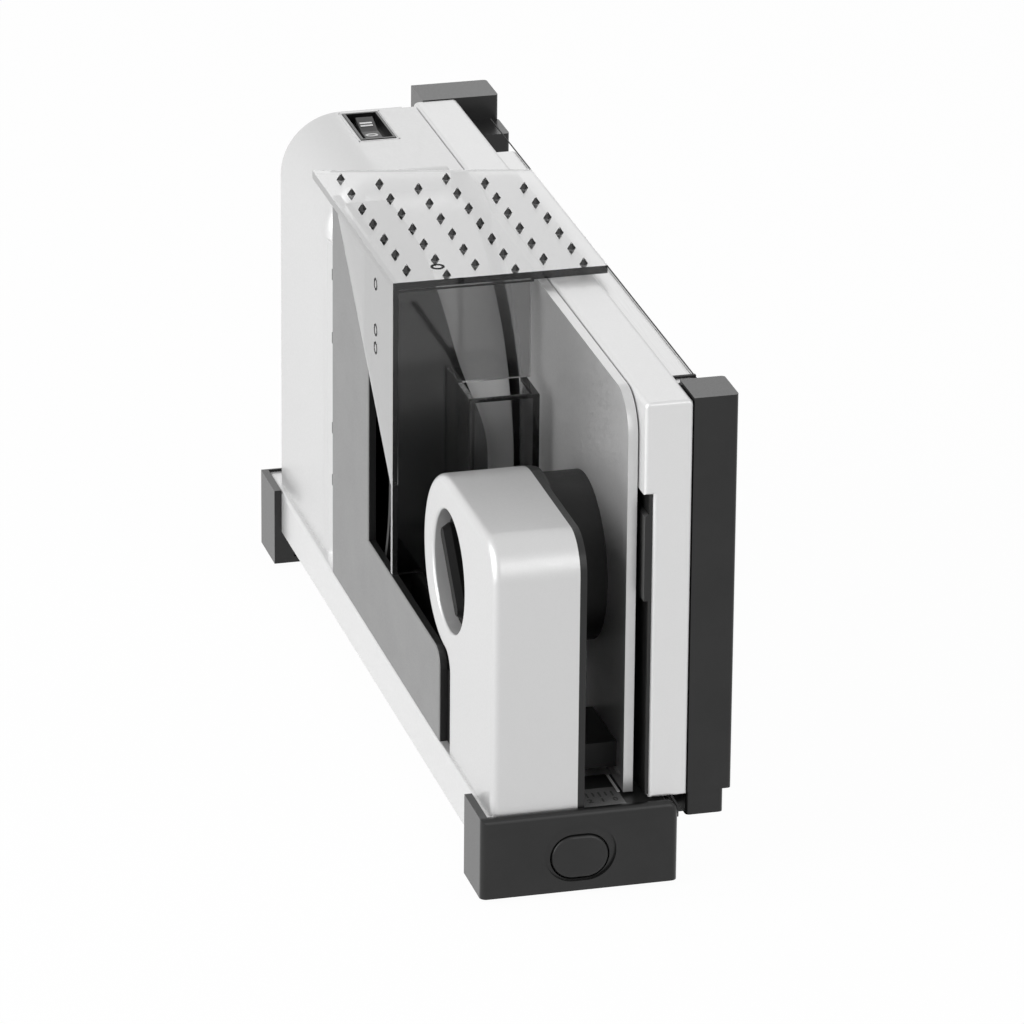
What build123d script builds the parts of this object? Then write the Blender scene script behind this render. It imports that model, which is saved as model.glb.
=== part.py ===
from build123d import *
import math
import os

# Folding electric food slicer, folded for storage, in millimetres.
# X runs across the base, from the motor side to the carriage.
# Y runs along the base, from the thickness knob to the rear.
# Z runs up. While modelling, zero is the lower left front corner of the base caps.

# Base
BASE_LENGTH = 345.0
BASE_WIDTH = 72.5
CAP_HEIGHT = 30.8
FRONT_CAP_DEPTH = 24.1
REAR_CAP_DEPTH = 25.1
CAP_WALL = 2.8
CAP_FLOOR = 2.4
CAP_CORNER_RADIUS = 2.4
CAP_TOP_RADIUS = 4.0
PROFILE_HEIGHT = 16.5
PROFILE_WALL = 1.8
PROFILE_CORNER_RADIUS = 1.2
RIM_HEIGHT = 1.0
LEDGE_WIDTH = 5.0
FOOT_LENGTH = 14.0
FOOT_WIDTH = 10.0
FOOT_HEIGHT = 2.2
FOOT_SEAT_DEPTH = 0.8

# Gaps between pieces
FIT_GAP = 0.1
RUNNING_GAP = 0.3
SHAFT_GAP = 0.05
BEYOND = 1000.0

# Release button
BUTTON_X = 36.5
BUTTON_Z = 12.8
BUTTON_LENGTH = 21.3
BUTTON_HEIGHT = 16.6
BUTTON_DEPTH = 9.0
BUTTON_PROUD = 1.0
BUTTON_FACE_RADIUS = 1.4
BUTTON_FLANGE = 1.5
RING_Z = 14.5
RING_LENGTH = 26.3
RING_HEIGHT = 21.5
RING_DEPTH = 1.2
SLEEVE_WALL = 1.6
SLEEVE_LENGTH = 6.0

# Circular blade
BLADE_RADIUS = 85.0
BLADE_Y = 238.0
BLADE_Z = 96.5
BLADE_THICKNESS = 1.8
BLADE_EDGE_THICKNESS = 0.25
BLADE_BEVEL_WIDTH = 11.0
BLADE_INSET = 14.0
BLADE_DRIVE_HOLE_RADIUS = 2.6
BLADE_DRIVE_HOLE_CIRCLE = 17.0
BLADE_DRIVE_HOLES = 3
AXLE_RADIUS = 6.0
BUSH_WALL = 3.0
LOCK_RADIUS = 14.0
LOCK_HEIGHT = 3.0
LOCK_BAR_WIDTH = 5.0
FLANGE_RADIUS = 24.0

# Motor housing
HOUSING_LEFT_X = 5.4
HOUSING_BLADE_ROOM = 5.0
HOUSING_FRONT_Y = 253.0
HOUSING_REAR_INSET = 9.3
HOUSING_TOP_Z = 181.6
HOUSING_WALL = 2.4
HOUSING_TOP_RADIUS = 24.0
HOUSING_FRONT_RADIUS = 8.0
HOUSING_REAR_RADIUS = 6.0
NOSE_RADIUS = 78.0
NOSE_LEFT_X = 20.0
GUARD_GAP = 1.5
SHOULDER_BOTTOM_Z = 40.0
SHOULDER_RADIUS = 5.0
BUSH_LENGTH = 4.0

# Worm drive
GEAR_MODULE = 1.9
WHEEL_TEETH = 30
WHEEL_INSET = 21.5
WHEEL_WIDTH = 10.0
WORM_PITCH_RADIUS = 8.0
WORM_CORE_RADIUS = 6.1
WORM_OUTER_RADIUS = 9.4
WORM_LENGTH = 26.0
MOTOR_RADIUS = 18.5
MOTOR_LENGTH = 62.0
MOTOR_SHELL = 2.0
ARMATURE_RADIUS = 13.0
ARMATURE_LENGTH = 40.0
SHAFT_RADIUS = 3.0
MOTOR_REAR_ROOM = 6.0

# Rocker switch
SWITCH_LEFT_X = 29.0
SWITCH_WIDTH = 13.8
SWITCH_REAR_ROOM = 8.8
SWITCH_LENGTH = 31.0
SWITCH_DEPTH = 19.0
SWITCH_SINK = 3.4
ROCKER_WIDTH = 6.6
ROCKER_LENGTH = 19.0
ROCKER_TILT = 8.0
ROCKER_RISE = 1.6
ROCKER_PIVOT_DEPTH = 4.0
ROCKER_PIN_RADIUS = 1.1
ROCKER_PIN_LENGTH = 1.4

# Side panel and inner frame
PANEL_X = 3.2
PANEL_THICKNESS = 3.0
PANEL_FRONT_GAP = 8.0
PANEL_NOTCH_Y = 180.3
PANEL_REAR_Y = 236.5
PANEL_LOW_Z = 65.4
PANEL_CORNER_RADIUS = 7.0
PANEL_TOP_Z = 180.0
FRAME_WALL = 2.4
FRAME_COVER_WALL = 2.0
FRAME_LOW_Z = 58.0
FRAME_FRONT_GAP = 0.4
COVER_TOP_X = 24.0
COVER_LOW_X = 43.0
COVER_LOW_Z = 106.0

# Knob housing
KNOB_HOUSING_X = 4.5
KNOB_HOUSING_WIDTH = 31.5
KNOB_HOUSING_WALL = 2.2
LEG_FRONT_Y = 3.2
LEG_REAR_Y = 65.0
LEG_TOP_RADIUS = 14.0
BOSS_Y = 69.5
BOSS_Z = 99.5
BOSS_RADIUS = 33.5
NECK_RADIUS = 6.0
LEG_EDGE_RADIUS = 3.0
BACKPLATE_THICKNESS = 2.5
KNOB_Y = 66.0
KNOB_Z = 99.0
RECESS_RADIUS = 22.6
RECESS_DEPTH = 8.0
RECESS_WALL = 2.0
KNOB_SKIRT_THICKNESS = 2.6
BAR_LENGTH = 37.0
BAR_WIDTH = 8.0
BAR_ANGLE = 47.0
SPINDLE_RADIUS = 4.0
NUT_WALL = 4.0
NUT_LENGTH = 6.0

# Stop plate
STOP_THICKNESS = 3.5
STOP_FRONT_Y = 11.2
STOP_TOP_Z = 181.3
STOP_BOTTOM_GAP = 0.5
STOP_CORNER_RADIUS = 15.0
STOP_RIM_WIDTH = 4.0
STOP_RIM_DEPTH = 1.0
STOP_TRAVEL = 14.0
STOP_BLADE_GAP = 2.8
DRUM_WALL = 2.2
DRUM_ENTRY = 1.0
COLLAR_HEIGHT = 1.8
GUIDE_FRONT_Y = 24.0
GUIDE_REAR_Y = 56.0
GUIDE_BOTTOM_Z = 36.0
GUIDE_TOP_Z = 45.5
GUIDE_WALL = 2.0

# Thickness scale
SCALE_STOP_GAP = 1.6
SCALE_LENGTH = 27.0
SCALE_THICKNESS = 0.5

# Carriage
CARRIAGE_BLADE_GAP = 0.5
CARRIAGE_WIDTH = 17.3
CARRIAGE_FRONT_Y = 3.6
CARRIAGE_SHORTER = 15.5
CARRIAGE_BOTTOM_Z = 31.5
CARRIAGE_HEIGHT = 150.5
CARRIAGE_STEP_Z = 147.6
CARRIAGE_STEP_DEPTH = 3.4
CARRIAGE_WALL = 1.8
CARRIAGE_EDGE_RADIUS = 1.2
LINER_THICKNESS = 1.2
LINER_LENGTH = 145.0
RAIL_THICKNESS = 2.4
RAIL_HEIGHT = 5.0
STOPPER_THICKNESS = 2.7
STOPPER_DROP = 7.6
STOPPER_HEIGHT = 33.0
STOPPER_LENGTH = 22.0

# Table
TABLE_GAP = 0.4
TABLE_CAP_WIDTH = 16.2
TABLE_CAP_DEPTH = 18.7
TABLE_CAP_BOTTOM_Z = 32.2
TABLE_CAP_RADIUS = 1.4
TABLE_CAP_WALL = 2.5
TABLE_STEP_DEPTH = 17.6
TABLE_STEP_DROP = 9.8
RAIL_SHEET = 1.8
TABLE_RAIL_TOP_Z = 179.0
TABLE_RAIL_REACH = 10.0
TABLE_RAIL_DROP = 26.0
TABLE_RAIL_FRONT_Y = 28.0
TABLE_RAIL_REAR_INSET = 67.0
TABLE_RAIL_RADIUS = 3.5
TABLE_FOOT_PROUD = 0.5
TABLE_FOOT_DIAMETER = 11.0
TABLE_FOOT_INSET = 14.0

# Fold hinge
HINGE_OUT = 1.7
KNUCKLE_RADIUS = 3.9
PIN_RADIUS = 2.0
KNUCKLE_LENGTH = 9.4
HINGE_END_GAP = 0.4
ARM_INSET = 2.4
ARM_BOTTOM_Z = 22.5
TOE_FRONT_Y = 5.5

# Food holder
HOLDER_LEFT_X = 0.2
HOLDER_OVERHANG = 4.2
HOLDER_FRONT_Y = 130.9
HOLDER_REAR_LEFT_Y = 255.7
HOLDER_REAR_RIGHT_Y = 238.1
HOLDER_PLATE_THICKNESS = 3.0
HOLDER_FOLD_GAP = 0.75
HOLDER_SEAT_LENGTH = 40.0
HOLDER_WALL = 2.4
HOLDER_WING_REAR_Y = 219.0
HOLDER_WING_TIP_Z = 104.0
HOLDER_STOP_ROOM = 3.1
HOLDER_PANEL_BOTTOM_Z = 71.9
GRIP_WIDTH = 26.0
GRIP_INSET = 1.4
GRIP_FRONT_Y = 112.8
GRIP_TOP_Z = 145.0
GRIP_WALL = 2.0
TOOTH_WIDTH = 3.2
TOOTH_HEIGHT = 2.3
TOOTH_COLUMN_PITCH = 12.85
TOOTH_ROW_PITCH = 16.8
FIRST_COLUMN_X = 8.2
FIRST_TOOTH_Y = 243.6
TOOTH_COLUMNS = [(0, 7), (0.5, 7), (1, 6), (0.5, 7), (1, 6), (1.5, 6)]

# Cord inlet and screws
GLAND_X = 24.0
GLAND_Z = 46.0
GLAND_RADIUS = 6.0
GLAND_BORE_RADIUS = 3.2
GLAND_LENGTH = 3.6
SCREW_RADIUS = 3.2
SCREW_HEAD_HEIGHT = 2.2
SCREW_SOCKET_RADIUS = 1.5
SCREW_SOCKET_DEPTH = 1.3
SCREW_SIDE_INSET = 9.0
SCREW_REAR_INSET = 20.0
SCREW_FRONT_INSET = 70.0
SCREW_KNOB_Y = 20.0

# Places worked out from the sizes above
profile_left = CAP_WALL + FIT_GAP
profile_right = BASE_WIDTH - CAP_WALL - FIT_GAP
profile_top = CAP_HEIGHT - RIM_HEIGHT
profile_bottom = profile_top - PROFILE_HEIGHT
profile_front = CAP_WALL + FIT_GAP
profile_rear = BASE_LENGTH - CAP_WALL - FIT_GAP
ground_z = -FOOT_HEIGHT
blade_right = BASE_WIDTH - BLADE_INSET
blade_left = blade_right - BLADE_THICKNESS
housing_right = blade_right - HOUSING_BLADE_ROOM
housing_rear = BASE_LENGTH - HOUSING_REAR_INSET
wheel_x = housing_right - WHEEL_INSET
switch_front = housing_rear - SWITCH_REAR_ROOM - SWITCH_LENGTH
guard_radius = BLADE_RADIUS + GUARD_GAP
stop_edge_radius = BLADE_RADIUS + STOP_BLADE_GAP
wheel_radius = GEAR_MODULE * WHEEL_TEETH / 2
worm_z = BLADE_Z + wheel_radius + WORM_PITCH_RADIUS
left_bush_right = wheel_x - WHEEL_WIDTH / 2 - RUNNING_GAP
right_bush_left = housing_right - HOUSING_WALL - BUSH_LENGTH
motor_front = housing_rear - HOUSING_WALL - MOTOR_REAR_ROOM - MOTOR_LENGTH
frame_left = PANEL_X + PANEL_THICKNESS + FIT_GAP
frame_rear = PANEL_REAR_Y + RUNNING_GAP
shoulder_front = frame_rear + FIT_GAP
knob_housing_right = KNOB_HOUSING_X + KNOB_HOUSING_WIDTH
backplate_right = knob_housing_right + BACKPLATE_THICKNESS
stop_right = blade_right
stop_left = stop_right - STOP_THICKNESS
stop_bottom = CAP_HEIGHT + STOP_BOTTOM_GAP
drum_floor = stop_left + STOP_RIM_DEPTH
spindle_right = drum_floor - DRUM_WALL - STOP_TRAVEL - 2 * RUNNING_GAP
carriage_left = blade_right + CARRIAGE_BLADE_GAP
carriage_right = carriage_left + CARRIAGE_WIDTH
carriage_track_x = carriage_left + CARRIAGE_STEP_DEPTH
carriage_rear = CARRIAGE_FRONT_Y + BASE_LENGTH - CARRIAGE_SHORTER
carriage_top = CARRIAGE_BOTTOM_Z + CARRIAGE_HEIGHT
table_left = carriage_right + TABLE_GAP
table_right = table_left + TABLE_CAP_WIDTH
table_front = CARRIAGE_FRONT_Y + TABLE_GAP
table_front_cap_rear = table_front + TABLE_CAP_DEPTH
table_rear_cap_front = carriage_rear + TABLE_GAP
table_rear = table_rear_cap_front + TABLE_CAP_DEPTH
table_top = carriage_top + TABLE_GAP
hinge_x = BASE_WIDTH + HINGE_OUT
arm_right = table_right - ARM_INSET
hinge_z = table_right + TABLE_FOOT_PROUD - FOOT_HEIGHT - hinge_x
hinge_front_y = max(FRONT_CAP_DEPTH, table_front_cap_rear) + 0.6
rocker_axis_z = HOUSING_TOP_Z - SWITCH_SINK + ROCKER_RISE - ROCKER_PIVOT_DEPTH
plate_bottom = carriage_top + HOLDER_FOLD_GAP
plate_top = plate_bottom + HOLDER_PLATE_THICKNESS
guard_right = blade_right + FIT_GAP
scale_right = stop_left - SCALE_STOP_GAP
table_rail_rear = BASE_LENGTH - TABLE_RAIL_REAR_INSET
hinge_spread = BASE_LENGTH - REAR_CAP_DEPTH - HINGE_END_GAP - 2 * KNUCKLE_LENGTH - hinge_front_y
holder_right = carriage_right + HOLDER_OVERHANG
holder_panel_right = stop_left - HOLDER_STOP_ROOM
grip_right = holder_panel_right - GRIP_INSET
grip_left = grip_right - GRIP_WIDTH


def block(x0, x1, y0, y1, z0, z1):
    return Pos((x0 + x1) / 2, (y0 + y1) / 2, (z0 + z1) / 2) * Box(x1 - x0, y1 - y0, z1 - z0)


def rectangle(u0, u1, v0, v1):
    return Pos((u0 + u1) / 2, (v0 + v1) / 2) * Rectangle(u1 - u0, v1 - v0)


def along_x(outline, x0, x1):
    """Solid from an outline drawn in Y and Z."""
    return extrude(Plane.YZ.offset(x0) * outline, x1 - x0)


def along_y(outline, y0, y1):
    """Solid from an outline drawn in X and Z."""
    return extrude(Plane.XZ.offset(-y1) * outline, y1 - y0)


def along_z(outline, z0, z1):
    """Solid from an outline drawn in X and Y."""
    return extrude(Plane.XY.offset(z0) * outline, z1 - z0)


def disc_x(y, z, radius, x0, x1):
    return along_x(Pos(y, z) * Circle(radius), x0, x1)


def disc_y(x, z, radius, y0, y1):
    return along_y(Pos(x, z) * Circle(radius), y0, y1)


def edges_at(part, axis, x=None, y=None, z=None):
    """Edges parallel to the axis whose centre lies at the given coordinates."""
    found = part.edges().filter_by(axis)
    for direction, value in ((Axis.X, x), (Axis.Y, y), (Axis.Z, z)):
        if value is not None:
            found = found.filter_by_position(direction, value - 0.02, value + 0.02)
    return found


# Base

def foot_places(depth):
    """The two rubber pads under an end cap whose outer end is at y = 0."""
    pads = []
    inset = CAP_WALL + FOOT_LENGTH / 2 + 2
    for x in (inset, BASE_WIDTH - inset):
        pad = along_z(Pos(x, depth / 2) * RectangleRounded(FOOT_LENGTH, FOOT_WIDTH, FOOT_WIDTH / 4),
                      ground_z, FOOT_SEAT_DEPTH)
        pads.append(pad)
    return pads


def end_cap(depth):
    """Moulded shoe for an end of the base profile, open at the top and inwards."""
    cap = block(0, BASE_WIDTH, 0, depth, 0, CAP_HEIGHT)
    cap = fillet(edges_at(cap, Axis.Y, x=BASE_WIDTH, z=CAP_HEIGHT), CAP_TOP_RADIUS)
    cap = fillet(edges_at(cap, Axis.Z, y=0), CAP_CORNER_RADIUS)
    cap -= block(CAP_WALL, BASE_WIDTH - CAP_WALL, CAP_WALL, depth + 1, CAP_FLOOR, CAP_HEIGHT + 1)
    for x in (CAP_WALL, BASE_WIDTH - CAP_WALL - LEDGE_WIDTH):
        cap += block(x, x + LEDGE_WIDTH, CAP_WALL, depth, 0, profile_bottom)
    for pad in foot_places(depth):
        cap -= pad
    return cap


def button_outline(margin=0.0):
    return Pos(BUTTON_X, BUTTON_Z) * SlotOverall(BUTTON_LENGTH + 2 * margin, BUTTON_HEIGHT + 2 * margin)


def front_base_cap():
    cap = end_cap(FRONT_CAP_DEPTH)
    ring = Pos(BUTTON_X, RING_Z) * SlotOverall(RING_LENGTH, RING_HEIGHT)
    cap += along_y(button_outline(RUNNING_GAP + SLEEVE_WALL), CAP_WALL / 2, CAP_WALL + SLEEVE_LENGTH)
    cap -= along_y(button_outline(RUNNING_GAP), -1, CAP_WALL + SLEEVE_LENGTH + 1)
    cap -= along_y(ring, -1, RING_DEPTH)
    return cap


def at_rear(part):
    """Turn a front end piece round to the rear end of the base."""
    return Pos(0, BASE_LENGTH, 0) * mirror(part, Plane.XZ)


def rubber_feet():
    front = foot_places(FRONT_CAP_DEPTH)
    rear = [at_rear(pad) for pad in foot_places(REAR_CAP_DEPTH)]
    return Compound(front + rear)


def blade_slot_half_length(radius, height):
    """Half the chord that a circle about the blade axis cuts at a height."""
    return math.sqrt(radius ** 2 - (height - BLADE_Z) ** 2)


def base_profile():
    """Sheet channel, open below, with a slot in its top for the blade."""
    outline = rectangle(profile_left, profile_right, profile_bottom, profile_top)
    top_corners = outline.vertices().group_by(Axis.Y)[-1]
    outline = fillet(top_corners, PROFILE_CORNER_RADIUS)
    inside = rectangle(profile_left + PROFILE_WALL, profile_right - PROFILE_WALL,
                       profile_bottom - 1, profile_top - PROFILE_WALL)
    profile = along_y(outline - inside, profile_front, profile_rear)
    half = blade_slot_half_length(guard_radius, profile_top - PROFILE_WALL)
    profile -= block(blade_left - GUARD_GAP, blade_right + GUARD_GAP, BLADE_Y - half, BLADE_Y + half,
                     profile_bottom, CAP_HEIGHT)
    return profile


def release_button():
    """Oblong push button with a rounded face and a flange that keeps it in its sleeve."""
    front = RING_DEPTH - BUTTON_PROUD
    button = along_y(button_outline(), front, front + BUTTON_DEPTH)
    button = fillet(button.faces().sort_by(Axis.Y)[0].edges(), BUTTON_FACE_RADIUS)
    flange_y = CAP_WALL + SLEEVE_LENGTH + RUNNING_GAP
    flange_rear = max(flange_y + BUTTON_FLANGE, front + BUTTON_DEPTH)
    button += along_y(button_outline(RUNNING_GAP + SLEEVE_WALL / 2), flange_y, flange_rear)
    hollow = along_y(button_outline(-CAP_FLOOR), front + CAP_FLOOR, flange_rear + 1)
    return button - hollow


# Blade and its drive

def blade():
    """Round knife with a one sided bevel, flat on the carriage side."""
    thin = blade_right - BLADE_EDGE_THICKNESS
    section = Polyline((blade_left, AXLE_RADIUS + SHAFT_GAP), (blade_left, BLADE_RADIUS - BLADE_BEVEL_WIDTH),
                       (thin, BLADE_RADIUS), (blade_right, BLADE_RADIUS),
                       (blade_right, AXLE_RADIUS + SHAFT_GAP), close=True)
    disc = revolve(make_face(section), Axis.X)
    disc = Pos(0, BLADE_Y, BLADE_Z) * disc
    for k in range(BLADE_DRIVE_HOLES):
        y, z = drive_pin_place(k)
        disc -= disc_x(y, z, BLADE_DRIVE_HOLE_RADIUS + SHAFT_GAP, blade_left - 1, blade_right + 1)
    return disc


def drive_pin_place(k):
    angle = math.radians(90 + 360 * k / BLADE_DRIVE_HOLES)
    return (BLADE_Y + BLADE_DRIVE_HOLE_CIRCLE * math.cos(angle),
            BLADE_Z + BLADE_DRIVE_HOLE_CIRCLE * math.sin(angle))


def blade_flange():
    """Disc on the axle that carries the blade, with pins that drive it."""
    left = housing_right + RUNNING_GAP
    flange = disc_x(BLADE_Y, BLADE_Z, FLANGE_RADIUS, left, blade_left)
    flange -= disc_x(BLADE_Y, BLADE_Z, AXLE_RADIUS, left - 1, blade_left + 1)
    for k in range(BLADE_DRIVE_HOLES):
        y, z = drive_pin_place(k)
        flange += disc_x(y, z, BLADE_DRIVE_HOLE_RADIUS, left, blade_right)
    return flange


def blade_axle():
    """Steel axle from its blind bearing in the nose to the lock outside the blade."""
    return disc_x(BLADE_Y, BLADE_Z, AXLE_RADIUS, NOSE_LEFT_X + RUNNING_GAP + 0.5, blade_right + 1.5)


def blade_lock():
    """Quarter turn cap that holds the blade on its axle, with a finger bar."""
    top = blade_right + LOCK_HEIGHT
    cap = disc_x(BLADE_Y, BLADE_Z, LOCK_RADIUS, blade_right, top)
    cap = fillet(cap.faces().sort_by(Axis.X)[-1].edges(), 0.8)
    hollow = disc_x(BLADE_Y, BLADE_Z, LOCK_RADIUS - 2, blade_right + 1.6, top + 1)
    bar = block(blade_right + 1.6, top, BLADE_Y - LOCK_BAR_WIDTH / 2, BLADE_Y + LOCK_BAR_WIDTH / 2,
                BLADE_Z - LOCK_RADIUS + 1, BLADE_Z + LOCK_RADIUS - 1)
    cap = cap - hollow + bar
    return cap - disc_x(BLADE_Y, BLADE_Z, AXLE_RADIUS, blade_right - 1, blade_right + 1.5)


def worm_wheel():
    """Toothed wheel fixed on the blade axle."""
    tip = wheel_radius + GEAR_MODULE * 0.79
    root = wheel_radius - GEAR_MODULE
    pitch_angle = 360 / WHEEL_TEETH
    gap_tip = pitch_angle * 0.36
    gap_root = pitch_angle * 0.18
    corners = [polar(tip + 1, -gap_tip), polar(root, -gap_root), polar(root, gap_root), polar(tip + 1, gap_tip)]
    gap = make_face(Polyline(*corners, close=True))
    gaps = [Rot(0, 0, 90 + pitch_angle * k) * gap for k in range(WHEEL_TEETH)]
    outline = Circle(tip) - gaps - Circle(AXLE_RADIUS)
    wheel = along_x(Pos(BLADE_Y, BLADE_Z) * outline, wheel_x - WHEEL_WIDTH / 2, wheel_x + WHEEL_WIDTH / 2)
    groove = (disc_x(BLADE_Y, BLADE_Z, root - 4, wheel_x + 2, wheel_x + WHEEL_WIDTH)
              - disc_x(BLADE_Y, BLADE_Z, AXLE_RADIUS + 5, wheel_x, wheel_x + WHEEL_WIDTH + 1))
    return wheel - groove


def polar(radius, degrees):
    return (radius * math.cos(math.radians(degrees)), radius * math.sin(math.radians(degrees)))


def motor_shaft():
    """Armature shaft with its worm cut in the front end."""
    lead = math.pi * GEAR_MODULE
    worm_front = BLADE_Y - WORM_LENGTH / 2
    thread_turns = 3.0
    path = Helix(lead, lead * thread_turns, WORM_CORE_RADIUS)
    height = WORM_OUTER_RADIUS - WORM_CORE_RADIUS
    root_half = lead * 0.26
    tip_half = lead * 0.12
    section = Plane(path @ 0, x_dir=(1, 0, 0), z_dir=path % 0) * make_face(
        Polyline((-0.6, -root_half), (height, -tip_half), (height, tip_half), (-0.6, root_half), close=True))
    thread = sweep(section, path, is_frenet=True)
    thread = Pos(0, 0, -lead * thread_turns / 2) * thread
    place = Pos(wheel_x, BLADE_Y, worm_z) * Rot(-90, 0, 0) * Rot(0, 0, -90)
    shaft = disc_y(wheel_x, worm_z, SHAFT_RADIUS, worm_front - 6, motor_front + MOTOR_LENGTH + 3)
    shaft += disc_y(wheel_x, worm_z, WORM_CORE_RADIUS, worm_front, worm_front + WORM_LENGTH)
    return shaft + place * thread


def motor_armature():
    """Laminated core with slots, and its commutator."""
    front = motor_front + (MOTOR_LENGTH - ARMATURE_LENGTH) / 2 - 4
    core = disc_y(wheel_x, worm_z, ARMATURE_RADIUS, front, front + ARMATURE_LENGTH)
    for location in PolarLocations(ARMATURE_RADIUS - 2, 8):
        slot = Pos(wheel_x, worm_z) * location * Rectangle(6, 1.6)
        core -= along_y(slot, front - 1, front + ARMATURE_LENGTH + 1)
    core += disc_y(wheel_x, worm_z, ARMATURE_RADIUS * 0.55, front + ARMATURE_LENGTH, front + ARMATURE_LENGTH + 9)
    return core - disc_y(wheel_x, worm_z, SHAFT_RADIUS, front - 1, front + ARMATURE_LENGTH + 10)


def motor_can():
    """Round steel case round the armature, closed at both ends but for the shaft."""
    rear = motor_front + MOTOR_LENGTH
    can = disc_y(wheel_x, worm_z, MOTOR_RADIUS, motor_front, rear)
    can -= disc_y(wheel_x, worm_z, MOTOR_RADIUS - MOTOR_SHELL, motor_front + MOTOR_SHELL, rear - MOTOR_SHELL)
    return can - disc_y(wheel_x, worm_z, SHAFT_RADIUS + SHAFT_GAP, motor_front - 1, rear + 1)


def axle_bushes():
    """Bearing bushes of the blade axle, in the two walls of the nose."""
    bushes = []
    for x0, x1 in ((NOSE_LEFT_X, left_bush_right), (right_bush_left, housing_right)):
        bush = disc_x(BLADE_Y, BLADE_Z, AXLE_RADIUS + BUSH_WALL, x0, x1)
        bushes.append(bush - disc_x(BLADE_Y, BLADE_Z, AXLE_RADIUS + SHAFT_GAP, x0 - 1, x1 + 1))
    return Compound(bushes)


# Motor housing and what it holds

def housing_outline(inset=0.0):
    """Cross section of the tall housing, in X and Z, with its rounded upper left corner."""
    outline = rectangle(HOUSING_LEFT_X + inset, housing_right - inset, profile_top, HOUSING_TOP_Z - inset)
    corner = outline.vertices().sort_by(Axis.X)[:2].sort_by(Axis.Y)[-1]
    return fillet(corner, HOUSING_TOP_RADIUS - inset)


def above_base(part):
    """The part of a solid that stands above the top of the base profile."""
    return part & block(-BEYOND, BEYOND, -BEYOND, BEYOND, profile_top, BEYOND)


def motor_housing():
    """Moulded hood with a round nose that carries the blade, and a guard lip behind the blade."""
    tower = along_y(housing_outline(), HOUSING_FRONT_Y, housing_rear)
    front_edges = tower.faces().sort_by(Axis.Y)[0].edges().filter_by_position(
        Axis.X, HOUSING_LEFT_X - 1, housing_right - 1).filter_by_position(
        Axis.Z, profile_top + 1, HOUSING_TOP_Z + 1)
    tower = fillet(front_edges, HOUSING_FRONT_RADIUS)
    rear_edges = tower.faces().sort_by(Axis.Y)[-1].edges().filter_by_position(
        Axis.X, HOUSING_LEFT_X - 1, housing_right - 1).filter_by_position(
        Axis.Z, profile_top + 1, HOUSING_TOP_Z + 1)
    tower = fillet(rear_edges, HOUSING_REAR_RADIUS)
    nose = above_base(disc_x(BLADE_Y, BLADE_Z, NOSE_RADIUS, NOSE_LEFT_X, housing_right))
    hollow = along_y(housing_outline(HOUSING_WALL), HOUSING_FRONT_Y + HOUSING_WALL, housing_rear - HOUSING_WALL)
    hollow += block(HOUSING_LEFT_X + HOUSING_WALL, housing_right - HOUSING_WALL,
                    HOUSING_FRONT_Y + HOUSING_FRONT_RADIUS, housing_rear - HOUSING_REAR_RADIUS,
                    profile_top - 1, profile_top + 1)
    nose_hollow = disc_x(BLADE_Y, BLADE_Z, NOSE_RADIUS - HOUSING_WALL,
                         NOSE_LEFT_X + HOUSING_WALL, housing_right - HOUSING_WALL)
    lip = block(housing_right, guard_right, HOUSING_FRONT_Y, housing_rear - HOUSING_REAR_RADIUS,
                profile_top, HOUSING_TOP_Z)
    lip -= disc_x(BLADE_Y, BLADE_Z, guard_radius, housing_right - 1, guard_right + 1)
    housing = tower + nose + lip + housing_shoulder() - hollow - above_base(nose_hollow)
    bush = AXLE_RADIUS + BUSH_WALL
    housing += disc_x(BLADE_Y, BLADE_Z, bush + HOUSING_WALL, NOSE_LEFT_X, left_bush_right)
    housing += disc_x(BLADE_Y, BLADE_Z, bush + HOUSING_WALL, right_bush_left, housing_right)
    housing -= disc_x(BLADE_Y, BLADE_Z, bush, NOSE_LEFT_X - 1, housing_right + 1)
    housing -= block(SWITCH_LEFT_X - FIT_GAP, SWITCH_LEFT_X + SWITCH_WIDTH + FIT_GAP,
                     switch_front - FIT_GAP, switch_front + SWITCH_LENGTH + FIT_GAP,
                     HOUSING_TOP_Z - 2 * HOUSING_WALL, HOUSING_TOP_Z + 1)
    housing -= disc_y(GLAND_X, GLAND_Z, GLAND_RADIUS - 1.5, housing_rear - HOUSING_WALL - 1, housing_rear + 1)
    return housing + motor_cradle()


def housing_shoulder():
    """Flat strip of the left wall that reaches forward to the side panel, joined to the nose at its foot."""
    rear = HOUSING_FRONT_Y + HOUSING_FRONT_RADIUS
    outline = rectangle(shoulder_front, rear, SHOULDER_BOTTOM_Z, HOUSING_TOP_Z - HOUSING_TOP_RADIUS)
    foot = outline.vertices().sort_by(Axis.X)[:2].sort_by(Axis.Y)[0]
    outline = fillet(foot, SHOULDER_RADIUS)
    return along_x(outline, frame_left, frame_left + HOUSING_WALL)


def motor_cradle():
    """Two ribs that hold the motor case, joined to the left and right walls."""
    ribs = None
    for y in (motor_front + 8, motor_front + MOTOR_LENGTH - 12):
        rib = block(HOUSING_LEFT_X + HOUSING_WALL / 2, housing_right - HOUSING_WALL / 2, y, y + 3,
                    worm_z - MOTOR_RADIUS - 6, worm_z)
        rib -= disc_y(wheel_x, worm_z, MOTOR_RADIUS, y - 1, y + 4)
        ribs = rib if ribs is None else ribs + rib
    return ribs


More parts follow.
